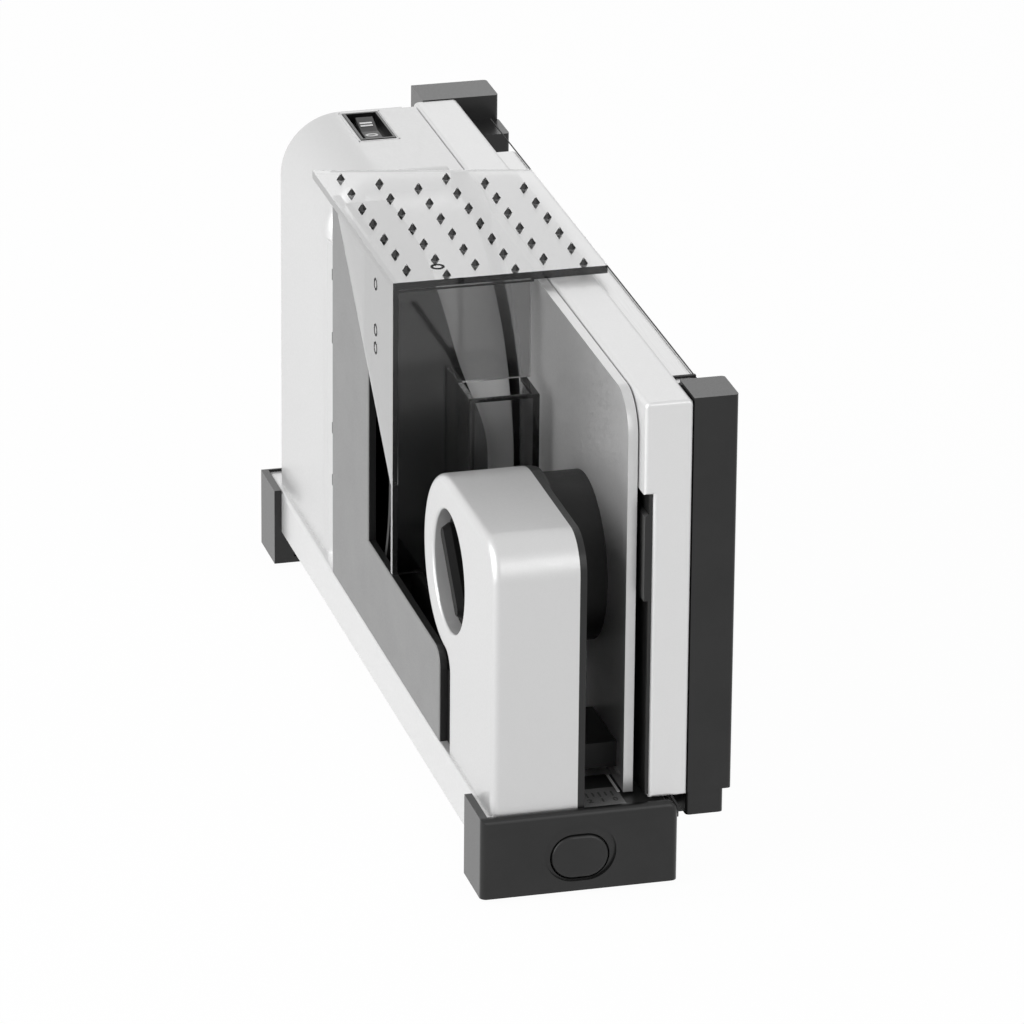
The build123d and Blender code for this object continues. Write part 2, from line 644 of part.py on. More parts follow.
def switch_body():
    """Rocker switch case, sunk in the housing top, with a tray for the rocker."""
    right = SWITCH_LEFT_X + SWITCH_WIDTH
    rear = switch_front + SWITCH_LENGTH
    top = HOUSING_TOP_Z - SWITCH_SINK
    middle_x = SWITCH_LEFT_X + SWITCH_WIDTH / 2
    middle_y = switch_front + SWITCH_LENGTH / 2
    case = block(SWITCH_LEFT_X, right, switch_front, rear, top - SWITCH_DEPTH, top)
    rim = block(SWITCH_LEFT_X, right, switch_front, rear, top, HOUSING_TOP_Z + 0.4)
    rim -= block(SWITCH_LEFT_X + 1, right - 1, switch_front + 1, rear - 1, top - 1, HOUSING_TOP_Z + 2)
    well = block(middle_x - ROCKER_WIDTH / 2 - RUNNING_GAP, middle_x + ROCKER_WIDTH / 2 + RUNNING_GAP,
                 middle_y - ROCKER_LENGTH / 2 - 1.0, middle_y + ROCKER_LENGTH / 2 + 1.0, top - 9, top + 1)
    pin = rocker_pin(ROCKER_PIN_LENGTH + RUNNING_GAP, SHAFT_GAP)
    return case + rim - well - Pos(0, middle_y, rocker_axis_z) * pin


def rocker_pin(reach, margin=0.0):
    """Cross pin of the rocker, which stands out of both sides of the key by the reach."""
    middle_x = SWITCH_LEFT_X + SWITCH_WIDTH / 2
    half = ROCKER_WIDTH / 2 + RUNNING_GAP + reach
    return disc_x(0, 0, ROCKER_PIN_RADIUS + margin, middle_x - half, middle_x + half)


def rocker():
    """Key with two sloping halves on a cross pin, stored with its front end down."""
    middle_x = SWITCH_LEFT_X + SWITCH_WIDTH / 2
    middle_y = switch_front + SWITCH_LENGTH / 2
    half = ROCKER_LENGTH / 2
    low = half * 0.72
    ridge = ROCKER_PIVOT_DEPTH
    rise = ridge + half * math.tan(math.radians(ROCKER_TILT))
    outline = make_face(Polyline((-half, rise), (0, ridge), (half, rise), (low, -ROCKER_PIN_RADIUS),
                                 (0, -2 * ROCKER_PIN_RADIUS), (-low, -ROCKER_PIN_RADIUS), close=True))
    key = along_x(outline, middle_x - ROCKER_WIDTH / 2, middle_x + ROCKER_WIDTH / 2)
    key += rocker_pin(ROCKER_PIN_LENGTH)
    return Pos(0, middle_y, rocker_axis_z) * Rot(ROCKER_TILT, 0, 0) * key


def cord_gland():
    """Round inlet bushing in the rear wall of the housing."""
    rear = housing_rear
    gland = disc_y(GLAND_X, GLAND_Z, GLAND_RADIUS, rear, rear + GLAND_LENGTH)
    gland = fillet(gland.faces().sort_by(Axis.Y)[-1].edges(), 1.2)
    gland += disc_y(GLAND_X, GLAND_Z, GLAND_RADIUS - 1.6, rear - HOUSING_WALL - 2, rear)
    return gland - disc_y(GLAND_X, GLAND_Z, GLAND_BORE_RADIUS, rear - 10, rear + 10)


# Side panel and the frame behind it

def side_panel():
    """Flat moulded panel: a low wall along the base and a tall wall beside the blade."""
    front = LEG_REAR_Y + PANEL_FRONT_GAP
    outline = make_face(Polyline((front, profile_top), (PANEL_REAR_Y, profile_top), (PANEL_REAR_Y, PANEL_TOP_Z),
                                 (PANEL_NOTCH_Y, PANEL_TOP_Z), (PANEL_NOTCH_Y, PANEL_LOW_Z),
                                 (front, PANEL_LOW_Z), close=True))
    front_corner = outline.vertices().sort_by(Axis.X)[:2].sort_by(Axis.Y)[-1]
    outline = fillet(front_corner, PANEL_CORNER_RADIUS)
    panel = along_x(outline, PANEL_X, PANEL_X + PANEL_THICKNESS)
    outer = panel.faces().sort_by(Axis.X)[0]
    return chamfer(outer.edges(), 0.4)


def inner_frame():
    """Black moulding behind the panel: a compartment round the nose, a nose cover and a low tray."""
    right = NOSE_LEFT_X - FIT_GAP
    outer_radius = NOSE_RADIUS + FIT_GAP + FRAME_COVER_WALL
    rear = frame_rear
    front_half = block(-BEYOND, BEYOND, 0, rear, profile_top, PANEL_TOP_Z)
    case = disc_x(BLADE_Y, BLADE_Z, outer_radius, frame_left, right) & front_half
    case -= (disc_x(BLADE_Y, BLADE_Z, outer_radius - FRAME_WALL, frame_left - 1, right - FRAME_WALL)
             & block(-BEYOND, BEYOND, 0, rear - FRAME_WALL, profile_top + FRAME_WALL, BEYOND))
    cover = disc_x(BLADE_Y, BLADE_Z, outer_radius, right, COVER_LOW_X)
    cover -= disc_x(BLADE_Y, BLADE_Z, NOSE_RADIUS + FIT_GAP, right - 1, COVER_LOW_X + 1)
    cover &= front_half
    top = BLADE_Z + outer_radius + 1
    slope = Spline((COVER_LOW_X, COVER_LOW_Z), (COVER_LOW_X - 8.0, COVER_LOW_Z + 31),
                   (COVER_TOP_X, top), tangents=((0, 1), (-0.7, 0.7)))
    edge = slope + Line((COVER_TOP_X, top), (COVER_LOW_X + 9, top))
    edge += Line((COVER_LOW_X + 9, top), (COVER_LOW_X + 9, COVER_LOW_Z))
    edge += Line((COVER_LOW_X + 9, COVER_LOW_Z), (COVER_LOW_X, COVER_LOW_Z))
    cover -= along_y(make_face(edge), 0, BEYOND)
    cover -= block(0, COVER_LOW_X + 5, BLADE_Y, BEYOND, BLADE_Z, BEYOND)
    tray_front = LEG_REAR_Y + FRAME_FRONT_GAP
    tray_rear = BLADE_Y - math.sqrt(outer_radius ** 2 - (FRAME_LOW_Z - BLADE_Z) ** 2) + FRAME_WALL
    tray = block(frame_left, right, tray_front, tray_rear, profile_top, FRAME_LOW_Z)
    tray -= block(frame_left + FRAME_WALL, right - FRAME_WALL, tray_front + FRAME_WALL, tray_rear + 1,
                  profile_top + FRAME_WALL, FRAME_LOW_Z + 1)
    tray -= disc_x(BLADE_Y, BLADE_Z, outer_radius - 0.5, frame_left - 1, right + 1)
    return case + cover + tray


# Knob housing, knob and stop plate

def knob_housing_outline(inset=0.0):
    """Side view of the knob housing: an upright leg and a round boss, joined by a neck."""
    top = BOSS_Z + BOSS_RADIUS - inset
    leg = rectangle(LEG_FRONT_Y + inset, LEG_REAR_Y - inset, profile_top, top)
    front_corner = leg.vertices().sort_by(Axis.X)[:2].sort_by(Axis.Y)[-1]
    leg = fillet(front_corner, LEG_TOP_RADIUS - inset)
    cap = rectangle(LEG_REAR_Y - inset - 1, BOSS_Y, BOSS_Z, top)
    outline = leg + cap + Pos(BOSS_Y, BOSS_Z) * Circle(BOSS_RADIUS - inset)
    neck_z = BOSS_Z - math.sqrt((BOSS_RADIUS - inset) ** 2 - (LEG_REAR_Y - inset - BOSS_Y) ** 2)
    neck = outline.vertices().sort_by_distance((LEG_REAR_Y - inset, neck_z, 0))[0]
    return fillet(neck, NECK_RADIUS + inset)


def knob_housing():
    """Moulded housing, open towards the stop plate, with a round recess for the knob."""
    left = KNOB_HOUSING_X
    shell = along_x(knob_housing_outline(), left, knob_housing_right)
    outer = shell.faces().sort_by(Axis.X)[0].edges().filter_by_position(Axis.Z, profile_top + 0.1, 400)
    shell = fillet(outer, LEG_EDGE_RADIUS)
    shell -= along_x(knob_housing_outline(KNOB_HOUSING_WALL), left + KNOB_HOUSING_WALL, knob_housing_right + 1)
    cup = disc_x(KNOB_Y, KNOB_Z, RECESS_RADIUS + RECESS_WALL, left + KNOB_HOUSING_WALL / 2,
                 left + RECESS_DEPTH + RECESS_WALL)
    shell += cup
    shell -= disc_x(KNOB_Y, KNOB_Z, RECESS_RADIUS, left - 1, left + RECESS_DEPTH)
    shell -= disc_x(KNOB_Y, KNOB_Z, SPINDLE_RADIUS + SHAFT_GAP, left - 1, knob_housing_right)
    rim = shell.edges().filter_by(GeomType.CIRCLE).filter_by_position(Axis.X, left - 0.01, left + 0.01)
    return fillet(rim, 1.0)


def guide_window(margin=0.0):
    return rectangle(GUIDE_FRONT_Y - margin, GUIDE_REAR_Y + margin, GUIDE_BOTTOM_Z - margin,
                     GUIDE_TOP_Z + margin)


def knob_backplate():
    """Plate that closes the knob housing, with a collar for the drum and a window for the guide."""
    plate = along_x(knob_housing_outline(), knob_housing_right, backplate_right)
    drum = drum_radius()
    collar = disc_x(BOSS_Y, BOSS_Z, BOSS_RADIUS - 0.4, backplate_right, backplate_right + COLLAR_HEIGHT)
    plate += collar
    plate -= disc_x(BOSS_Y, BOSS_Z, drum + RUNNING_GAP, knob_housing_right - 1, backplate_right + 10)
    return plate - along_x(guide_window(RUNNING_GAP), knob_housing_right - 1, backplate_right + 1)


def drum_radius():
    return BOSS_RADIUS - KNOB_HOUSING_WALL - RUNNING_GAP - 0.2


def knob():
    """Turning knob: a shallow dish with a slanting finger bar."""
    floor = KNOB_HOUSING_X + RECESS_DEPTH
    left = floor - KNOB_SKIRT_THICKNESS - RUNNING_GAP
    radius = RECESS_RADIUS - 0.7
    dish = disc_x(0, 0, radius, left, floor - RUNNING_GAP)
    dish = chamfer(dish.faces().sort_by(Axis.X)[0].edges(), 0.8)
    bar = along_x(SlotOverall(BAR_LENGTH, BAR_WIDTH), KNOB_HOUSING_X + 0.3, left)
    ridge = bar.faces().sort_by(Axis.X)[0].edges()
    bar = chamfer(ridge, 2.6, 1.6)
    return Pos(0, KNOB_Y, KNOB_Z) * Rot(BAR_ANGLE, 0, 0) * (dish + bar)


def knob_spindle():
    """Steel spindle from the knob through the recess floor into the nut of the drum."""
    left = KNOB_HOUSING_X + RECESS_DEPTH - RUNNING_GAP
    return disc_x(KNOB_Y, KNOB_Z, SPINDLE_RADIUS, left, spindle_right)


def stop_outline(inset=0.0):
    """Side view of the stop plate: straight front, round corner, and a hollow rear edge."""
    outline = rectangle(STOP_FRONT_Y + inset, BLADE_Y - BLADE_RADIUS * 0.45 - inset, stop_bottom + inset,
                        STOP_TOP_Z - inset)
    front_corner = outline.vertices().sort_by(Axis.X)[:2].sort_by(Axis.Y)[-1]
    outline = fillet(front_corner, STOP_CORNER_RADIUS - inset)
    return outline - Pos(BLADE_Y, BLADE_Z) * Circle(stop_edge_radius + inset)


def stop_plate():
    """Flat plate that sets the slice thickness, with a raised rim on the knob side."""
    plate = along_x(stop_outline(), stop_left, stop_right)
    return plate - along_x(stop_outline(STOP_RIM_WIDTH), stop_left - 1, stop_left + STOP_RIM_DEPTH)


def stop_drum():
    """Telescopic drum with the nut of the spindle, fixed behind the stop plate."""
    floor = drum_floor
    radius = drum_radius()
    left = knob_housing_right - DRUM_ENTRY
    drum = disc_x(BOSS_Y, BOSS_Z, radius, left, floor)
    drum -= disc_x(BOSS_Y, BOSS_Z, radius - DRUM_WALL, left - 1, floor - DRUM_WALL)
    nut_left = spindle_right - NUT_LENGTH
    drum += disc_x(KNOB_Y, KNOB_Z, SPINDLE_RADIUS + NUT_WALL, nut_left, floor - DRUM_WALL / 2)
    drum -= disc_x(KNOB_Y, KNOB_Z, SPINDLE_RADIUS + SHAFT_GAP, nut_left - 1, floor - DRUM_WALL)
    return drum


def stop_guide():
    """Hollow guide block fixed behind the lower edge of the stop plate, which keeps the plate from turning."""
    left = knob_housing_right - DRUM_ENTRY
    guide = along_x(guide_window(), left, drum_floor)
    return guide - along_x(guide_window(-GUIDE_WALL), left - 1, drum_floor - GUIDE_WALL)


def scale_plate():
    """Thin insert on the base: a strip for the thickness marks and a lower dark field beside it."""
    rear = profile_front + SCALE_LENGTH
    field_right = profile_right - PROFILE_CORNER_RADIUS
    field_top = profile_top + SCALE_THICKNESS / 2
    strip = block(backplate_right + FIT_GAP, scale_right, profile_front, rear, profile_top,
                  profile_top + SCALE_THICKNESS)
    return strip + block(scale_right, field_right, profile_front, rear, profile_top, field_top)


# Carriage and table

def carriage_outline(inset=0.0):
    """Section of the carriage: thicker above the step, thinner along the track."""
    left = carriage_left + inset
    track = carriage_track_x + inset
    right = carriage_right - inset
    bottom = CARRIAGE_BOTTOM_Z + inset
    top = carriage_top - inset
    step = CARRIAGE_STEP_Z + inset
    outline = make_face(Polyline((track, bottom), (right, bottom), (right, top), (left, top), (left, step),
                                 (track, step), close=True))
    top_corners = outline.vertices().group_by(Axis.Y)[-1]
    return fillet(top_corners, CARRIAGE_EDGE_RADIUS + 0.6)


def carriage_plate():
    """Hollow aluminium section, closed at both ends, with softened front edges."""
    body = along_y(carriage_outline(), CARRIAGE_FRONT_Y, carriage_rear)
    body = fillet(body.faces().sort_by(Axis.Y)[0].edges(), CARRIAGE_EDGE_RADIUS)
    return body - along_y(carriage_outline(CARRIAGE_WALL), CARRIAGE_FRONT_Y + CARRIAGE_WALL * 1.5,
                          carriage_rear - CARRIAGE_WALL)


def carriage_rails():
    """Black liner on the track face, with a slide rib along its foot and another at its middle."""
    front = CARRIAGE_FRONT_Y + CARRIAGE_EDGE_RADIUS
    rear = front + LINER_LENGTH
    low = CARRIAGE_BOTTOM_Z + CARRIAGE_EDGE_RADIUS
    right = carriage_track_x
    liner = block(right - LINER_THICKNESS, right, front, rear, low, CARRIAGE_STEP_Z)
    middle = (low + CARRIAGE_STEP_Z - RAIL_HEIGHT) / 2
    for z in (low, middle):
        liner += block(right - RAIL_THICKNESS, right, front + STOPPER_LENGTH, rear, z, z + RAIL_HEIGHT)
    return liner


def carriage_stopper():
    """Black end piece in the corner of the step, where the carriage is gripped."""
    left = carriage_track_x - STOPPER_THICKNESS
    right = carriage_track_x - LINER_THICKNESS
    front = CARRIAGE_FRONT_Y + CARRIAGE_EDGE_RADIUS
    top = CARRIAGE_STEP_Z - STOPPER_DROP
    piece = block(left, right, front, front + STOPPER_LENGTH, top - STOPPER_HEIGHT, top)
    return chamfer(edges_at(piece, Axis.Y, x=left, z=top), (right - left) * 0.8)


def table_cap(front, rear, left, top=None):
    """Block of an end foot of the table, with rounded outer edges."""
    top = table_top if top is None else top
    cap = block(left, table_right, front, rear, TABLE_CAP_BOTTOM_Z, top)
    return fillet(edges_at(cap, Axis.Z, x=table_right), TABLE_CAP_RADIUS)


def table_front_cap():
    cap = table_cap(table_front, table_front_cap_rear, table_left)
    toe = block(table_left, arm_right, TOE_FRONT_Y, table_front_cap_rear, ARM_BOTTOM_Z, TABLE_CAP_BOTTOM_Z)
    cap += fillet(edges_at(toe, Axis.Z, y=TOE_FRONT_Y), 1.5)
    hollow = block(table_left - 1, table_right - TABLE_CAP_WALL, table_front + TABLE_CAP_WALL,
                   table_front_cap_rear - TABLE_CAP_WALL, TABLE_CAP_BOTTOM_Z + TABLE_CAP_WALL,
                   table_top - TABLE_CAP_WALL)
    cap -= hollow
    return cap - table_feet()


def table_rear_cap():
    left = carriage_left + CARRIAGE_STEP_DEPTH + 0.3
    cap = table_cap(table_rear_cap_front, table_rear, left)
    hollow = block(left + TABLE_CAP_WALL, table_right - TABLE_CAP_WALL, table_rear_cap_front + TABLE_CAP_WALL,
                   table_rear - TABLE_CAP_WALL, TABLE_CAP_BOTTOM_Z - 1, table_top - TABLE_CAP_WALL)
    cap -= hollow
    step = table_cap(table_rear_cap_front - TABLE_STEP_DEPTH, table_rear_cap_front, table_left,
                     table_top - TABLE_STEP_DROP)
    cap += step
    return cap - table_feet()


def table_feet():
    """Round rubber pads that meet the ground when the table is folded out."""
    pads = []
    depth = TABLE_CAP_WALL / 2
    for y in (table_front + TABLE_CAP_DEPTH / 2, table_rear - TABLE_CAP_DEPTH / 2):
        for z in (TABLE_CAP_BOTTOM_Z + TABLE_FOOT_INSET, table_top - TABLE_FOOT_INSET):
            pads.append(disc_x(y, z, TABLE_FOOT_DIAMETER / 2, table_right - depth,
                               table_right + TABLE_FOOT_PROUD))
    return Compound(pads)


def table_rail():
    """Rolled sheet between the two end feet, hooked over at its top edge."""
    left = table_left
    right = left + TABLE_RAIL_REACH
    top = TABLE_RAIL_TOP_Z
    bottom = TABLE_CAP_BOTTOM_Z + TABLE_CAP_WALL
    hook = rectangle(left, right, top - TABLE_RAIL_DROP, top)
    hook = fillet(hook.vertices().group_by(Axis.Y)[-1].sort_by(Axis.X)[-1], TABLE_RAIL_RADIUS)
    inner = rectangle(left + RAIL_SHEET, right - RAIL_SHEET, top - TABLE_RAIL_DROP - 1, top - RAIL_SHEET)
    inner = fillet(inner.vertices().group_by(Axis.Y)[-1].sort_by(Axis.X)[-1], TABLE_RAIL_RADIUS - RAIL_SHEET)
    rolled = along_y(hook - inner, TABLE_RAIL_FRONT_Y, table_rail_rear)
    web = block(left, left + RAIL_SHEET, table_front_cap_rear, table_rear_cap_front - TABLE_STEP_DEPTH, bottom,
                top - TABLE_RAIL_RADIUS)
    return rolled + web


def hinge_outline(reach_left, reach_right, low, high):
    """Section of a hinge leaf in X and Z: a knuckle round the pin and a plate beside it."""
    knuckle = Pos(hinge_x, hinge_z) * Circle(KNUCKLE_RADIUS)
    return knuckle + rectangle(reach_left, reach_right, low, high) - Pos(hinge_x, hinge_z) * Circle(
        PIN_RADIUS + SHAFT_GAP)


def hinge_starts():
    return (hinge_front_y, hinge_front_y + hinge_spread)


def hinge_brackets():
    """Knuckles fixed to the right wall of the base profile."""
    leaves = []
    for start in hinge_starts():
        front = start + KNUCKLE_LENGTH + RUNNING_GAP
        outline = hinge_outline(profile_right, hinge_x, hinge_z - 2.6, hinge_z + KNUCKLE_RADIUS + 4)
        outline &= rectangle(profile_right, BEYOND, 0, BEYOND)
        leaves.append(along_y(outline, front, front + KNUCKLE_LENGTH))
    return Compound(leaves)


def hinge_arms():
    """Knuckles with arms that rise to the end feet of the table."""
    arms = []
    for start in hinge_starts():
        outline = hinge_outline(hinge_x, table_left + 3, hinge_z - KNUCKLE_RADIUS, hinge_z + KNUCKLE_RADIUS)
        outline += rectangle(table_left, arm_right, hinge_z - KNUCKLE_RADIUS + 2, TABLE_CAP_BOTTOM_Z)
        outline -= Pos(hinge_x, hinge_z) * Circle(PIN_RADIUS + SHAFT_GAP)
        arms.append(along_y(outline, start, start + KNUCKLE_LENGTH))
    return Compound(arms)


def hinge_pins():
    pins = []
    for start in hinge_starts():
        pins.append(disc_y(hinge_x, hinge_z, PIN_RADIUS, start - 0.2, start + 2 * KNUCKLE_LENGTH + RUNNING_GAP))
    return Compound(pins)


# Food holder

def tooth_places():
    places = []
    for column, (offset, count) in enumerate(TOOTH_COLUMNS):
        x = FIRST_COLUMN_X + column * TOOTH_COLUMN_PITCH
        for row in range(count):
            places.append((x, FIRST_TOOTH_Y - (offset + row) * TOOTH_ROW_PITCH))
    return places


def tooth():
    """Pyramid with its corners along X and Y, rooted a little in the plate."""
    base = Plane.XY.offset(plate_top - 0.2) * Rot(0, 0, 45) * Rectangle(TOOTH_WIDTH / 1.414, TOOTH_WIDTH / 1.414)
    tip = Plane.XY.offset(plate_top + TOOTH_HEIGHT) * Rot(0, 0, 45) * Rectangle(0.3, 0.3)
    return loft([base.face(), tip.face()], ruled=True)


def food_holder():
    """One moulding: toothed plate, side wing, front panel, finger grip and a seat rib under the plate."""
    plate = along_z(make_face(Polyline((HOLDER_LEFT_X, HOLDER_FRONT_Y), (holder_right, HOLDER_FRONT_Y),
                                       (holder_right, HOLDER_REAR_RIGHT_Y), (HOLDER_LEFT_X, HOLDER_REAR_LEFT_Y),
                                       close=True)), plate_bottom, plate_top)
    wing_outline = make_face(Polyline((HOLDER_FRONT_Y, plate_top), (HOLDER_WING_REAR_Y, plate_top),
                                      (HOLDER_FRONT_Y, HOLDER_WING_TIP_Z), close=True))
    wing = along_x(wing_outline, HOLDER_LEFT_X, HOLDER_LEFT_X + HOLDER_WALL)
    panel_rear = HOLDER_FRONT_Y + HOLDER_WALL
    panel = block(HOLDER_LEFT_X, holder_panel_right, HOLDER_FRONT_Y, panel_rear, GRIP_TOP_Z, plate_top)
    panel += block(HOLDER_LEFT_X, grip_left + GRIP_WALL, HOLDER_FRONT_Y, panel_rear, HOLDER_PANEL_BOTTOM_Z,
                   GRIP_TOP_Z)
    grip = block(grip_left, grip_right, GRIP_FRONT_Y, panel_rear, HOLDER_PANEL_BOTTOM_Z, GRIP_TOP_Z)
    grip -= block(grip_left + GRIP_WALL, grip_right - GRIP_WALL, GRIP_FRONT_Y + GRIP_WALL, panel_rear + 1,
                  HOLDER_PANEL_BOTTOM_Z + GRIP_WALL, GRIP_TOP_Z + 1)
    seat = block(frame_left - HOLDER_WALL, frame_left - FIT_GAP, HOLDER_WING_REAR_Y - HOLDER_SEAT_LENGTH + 5,
                 HOLDER_WING_REAR_Y, PANEL_TOP_Z + FIT_GAP, plate_bottom)
    holder = plate + wing + panel + grip + seat
    teeth = [Pos(x, y, 0) * tooth() for x, y in tooth_places()]
    return holder + teeth


def housing_screws():
    """Screws that hold the motor housing and the knob housing from under the base top."""
    screws = []
    top = profile_top - PROFILE_WALL
    bottom = top - SCREW_HEAD_HEIGHT
    left = HOUSING_LEFT_X + SCREW_SIDE_INSET
    rear = BASE_LENGTH - SCREW_REAR_INSET
    places = [(left, BASE_LENGTH - SCREW_FRONT_INSET), (left, rear), (housing_right - SCREW_SIDE_INSET, rear)]
    places += [(left, SCREW_KNOB_Y), (knob_housing_right - SCREW_SIDE_INSET, SCREW_KNOB_Y)]
    for x, y in places:
        head = along_z(Pos(x, y) * Circle(SCREW_RADIUS), bottom, top)
        socket = along_z(Pos(x, y) * RegularPolygon(SCREW_SOCKET_RADIUS, 6), bottom - 1, bottom + SCREW_SOCKET_DEPTH)
        screws.append(head - socket)
    return Compound(screws)


nodes = {
    "base_profile": base_profile,
    "front_base_cap": front_base_cap,
    "rear_base_cap": lambda: at_rear(end_cap(REAR_CAP_DEPTH)),
    "rubber_feet": rubber_feet,
    "release_button": release_button,
    "blade": blade,
    "blade_flange": blade_flange,
    "blade_axle": blade_axle,
    "blade_lock": blade_lock,
    "worm_wheel": worm_wheel,
    "motor_shaft": motor_shaft,
    "motor_armature": motor_armature,
    "motor_can": motor_can,
    "axle_bushes": axle_bushes,
    "motor_housing": motor_housing,
    "switch_body": switch_body,
    "rocker": rocker,
    "cord_gland": cord_gland,
    "side_panel": side_panel,
    "inner_frame": inner_frame,
    "knob_housing": knob_housing,
    "knob_backplate": knob_backplate,
    "knob": knob,
    "knob_spindle": knob_spindle,
    "stop_plate": stop_plate,
    "stop_drum": stop_drum,
    "stop_guide": stop_guide,
    "scale_plate": scale_plate,
    "carriage_plate": carriage_plate,
    "carriage_rails": carriage_rails,
    "carriage_stopper": carriage_stopper,
    "table_front_cap": table_front_cap,
    "table_rear_cap": table_rear_cap,
    "table_feet": table_feet,
    "table_rail": table_rail,
    "hinge_brackets": hinge_brackets,
    "hinge_arms": hinge_arms,
    "hinge_pins": hinge_pins,
    "food_holder": food_holder,
    "housing_screws": housing_screws,
}

# The kept model stands on the ground with its box centred over the origin.
box_left = 0.0
box_right = table_right + TABLE_FOOT_PROUD
to_own_frame = Pos(-(box_left + box_right) / 2, -table_rear / 2, -ground_z)

os.makedirs("parts", exist_ok=True)
for name, make in nodes.items():
    export_step(to_own_frame * make(), "parts/" + name + ".step")
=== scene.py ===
import math
import bmesh
import bpy
from mathutils import Matrix, Vector


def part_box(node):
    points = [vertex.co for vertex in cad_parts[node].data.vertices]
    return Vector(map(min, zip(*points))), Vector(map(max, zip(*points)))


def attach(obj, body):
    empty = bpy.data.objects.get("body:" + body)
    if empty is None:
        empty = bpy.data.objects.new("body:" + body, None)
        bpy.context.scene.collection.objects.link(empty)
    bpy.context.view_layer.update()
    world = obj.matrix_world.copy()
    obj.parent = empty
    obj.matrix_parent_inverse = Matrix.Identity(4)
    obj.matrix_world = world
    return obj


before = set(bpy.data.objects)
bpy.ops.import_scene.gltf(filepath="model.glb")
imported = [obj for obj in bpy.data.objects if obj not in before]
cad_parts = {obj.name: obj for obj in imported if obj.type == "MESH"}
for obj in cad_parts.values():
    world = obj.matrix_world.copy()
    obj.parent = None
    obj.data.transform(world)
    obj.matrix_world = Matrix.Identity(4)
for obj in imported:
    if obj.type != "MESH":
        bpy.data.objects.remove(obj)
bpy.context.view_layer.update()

# Camera, as solved from the photograph. Lengths are metres, angles degrees.
CAMERA_AZIMUTH = -15.07
CAMERA_ELEVATION = 22.17
CAMERA_ROLL = 0.52
CAMERA_DISTANCE = 2.6416
CAMERA_AIM = (-0.02374, -0.12846, 0.12976)
FOCAL_PIXELS = 7458.9
IMAGE_PIXELS = 1024
SENSOR_WIDTH = 36.0

# Light: each box is its place, width and height
WORLD_LEVEL = 0.45
KEY_WATTS = 27.0
FRONT_WATTS = 6.0
TOP_WATTS = 0.5
BACK_WATTS = 0.5
FLOOR_GLOW = 0.97

FLOOR_TONE = 0.93
FLOOR_REACH = 6.0
CAMERA_FAR = 50.0
KEY_BOX = ((-1.5, -0.3, 0.7), 1.4, 1.6)
FRONT_BOX = ((0.9, -1.6, 0.9), 1.2, 1.2)
TOP_BOX = ((-0.2, 0.3, 1.8), 1.6, 1.6)
BACK_BOX = ((0.52, 1.97, 1.0), 0.5, 0.42)
LIGHT_AIM = (0.0, 0.0, 0.09)

# Finishes: noise scales in cycles a metre, bump distances in metres
RAMP_ENDS = (0.3, 0.7)
GRAIN_RAMP_ENDS = (0.2, 0.8)
LACQUER_COAT_ROUGHNESS = 0.12
LACQUER_SPREAD = 0.05
MOULD_COAT_ROUGHNESS = 0.25
MOULD_SPREAD = 0.06
METAL_TONE_SPREAD = 0.05
METAL_SPREAD = 0.06
GLOSS_TONE_RANGE = (0.8, 1.2)
GLOSS_SPREAD = 0.05
FLAKE_SCALE = 5200.0
FLAKE_CLOUD_SCALE = 900.0
FLAKE_BUMP = 0.03
FLAKE_BUMP_DISTANCE = 0.00005
MOULD_CLOUD_SCALE = 60.0
GRAIN_SCALE = 1800.0
GRAIN_BUMP = 0.12
GRAIN_BUMP_DISTANCE = 0.0002
RUBBER_SCALE = 900.0
RUBBER_BUMP = 0.25
SMOKE_IOR = 1.58
SMOKE_DENSITY = 210.0
SMOKE_SHADOW = 0.9
SMOKE_TONES = (0.93, 0.96)
SMOKE_ROUGHNESS = (0.03, 0.06)
FLOW_SCALE = 30.0
FLOW_BUMP = 0.03
FLOW_BUMP_DISTANCE = 0.0004
# Faces of the side panel whose normal x is below this get the painted light grey sheen; its other faces get
# the near black edge tone.
SHEEN_FACE_NORMAL = -0.5
EDGE_TONE = 0.008
GLOSS_SCALE = 500.0
GLOSS_BUMP = 0.05
BRUSH_SCALE = 900.0
BRUSH_BUMP = 0.06
FINE_BRUSH_SCALE = 2400.0
FINE_BRUSH_BUMP = 0.03
METAL_BUMP_DISTANCE = 0.0001
INK_SCALE = 3000.0
INK_UNEVENNESS = 0.08

# Prints and marks
MARK_THICKNESS = 0.00012
LETTER_WEIGHT = 0.00012

# Thickness scale and its pointer
SCALE_ZERO = 0.0036
TICK_COUNT = 5
TICK_WIDTH = 0.0006
TICK_LENGTH = 0.0038
HALF_TICK_LENGTH = 0.0032
TICK_REAR = 0.0122
TICK_PITCH = 0.0023
DIGIT_COUNT = 3
DIGIT_SIZE = 0.0038
DIGIT_DROP = 0.0069
FIELD_RIGHT = 0.0028
FIELD_LENGTH = 0.0158
FIELD_RISE = 0.00004
POINTER_SIDE = 0.0016
POINTER_WIDTH = 0.0009
POINTER_LENGTH = 0.0146
POINTER_FRONT = 0.0103
POINTER_LIFT = 0.0003
POINTER_HEIGHT = 0.0004
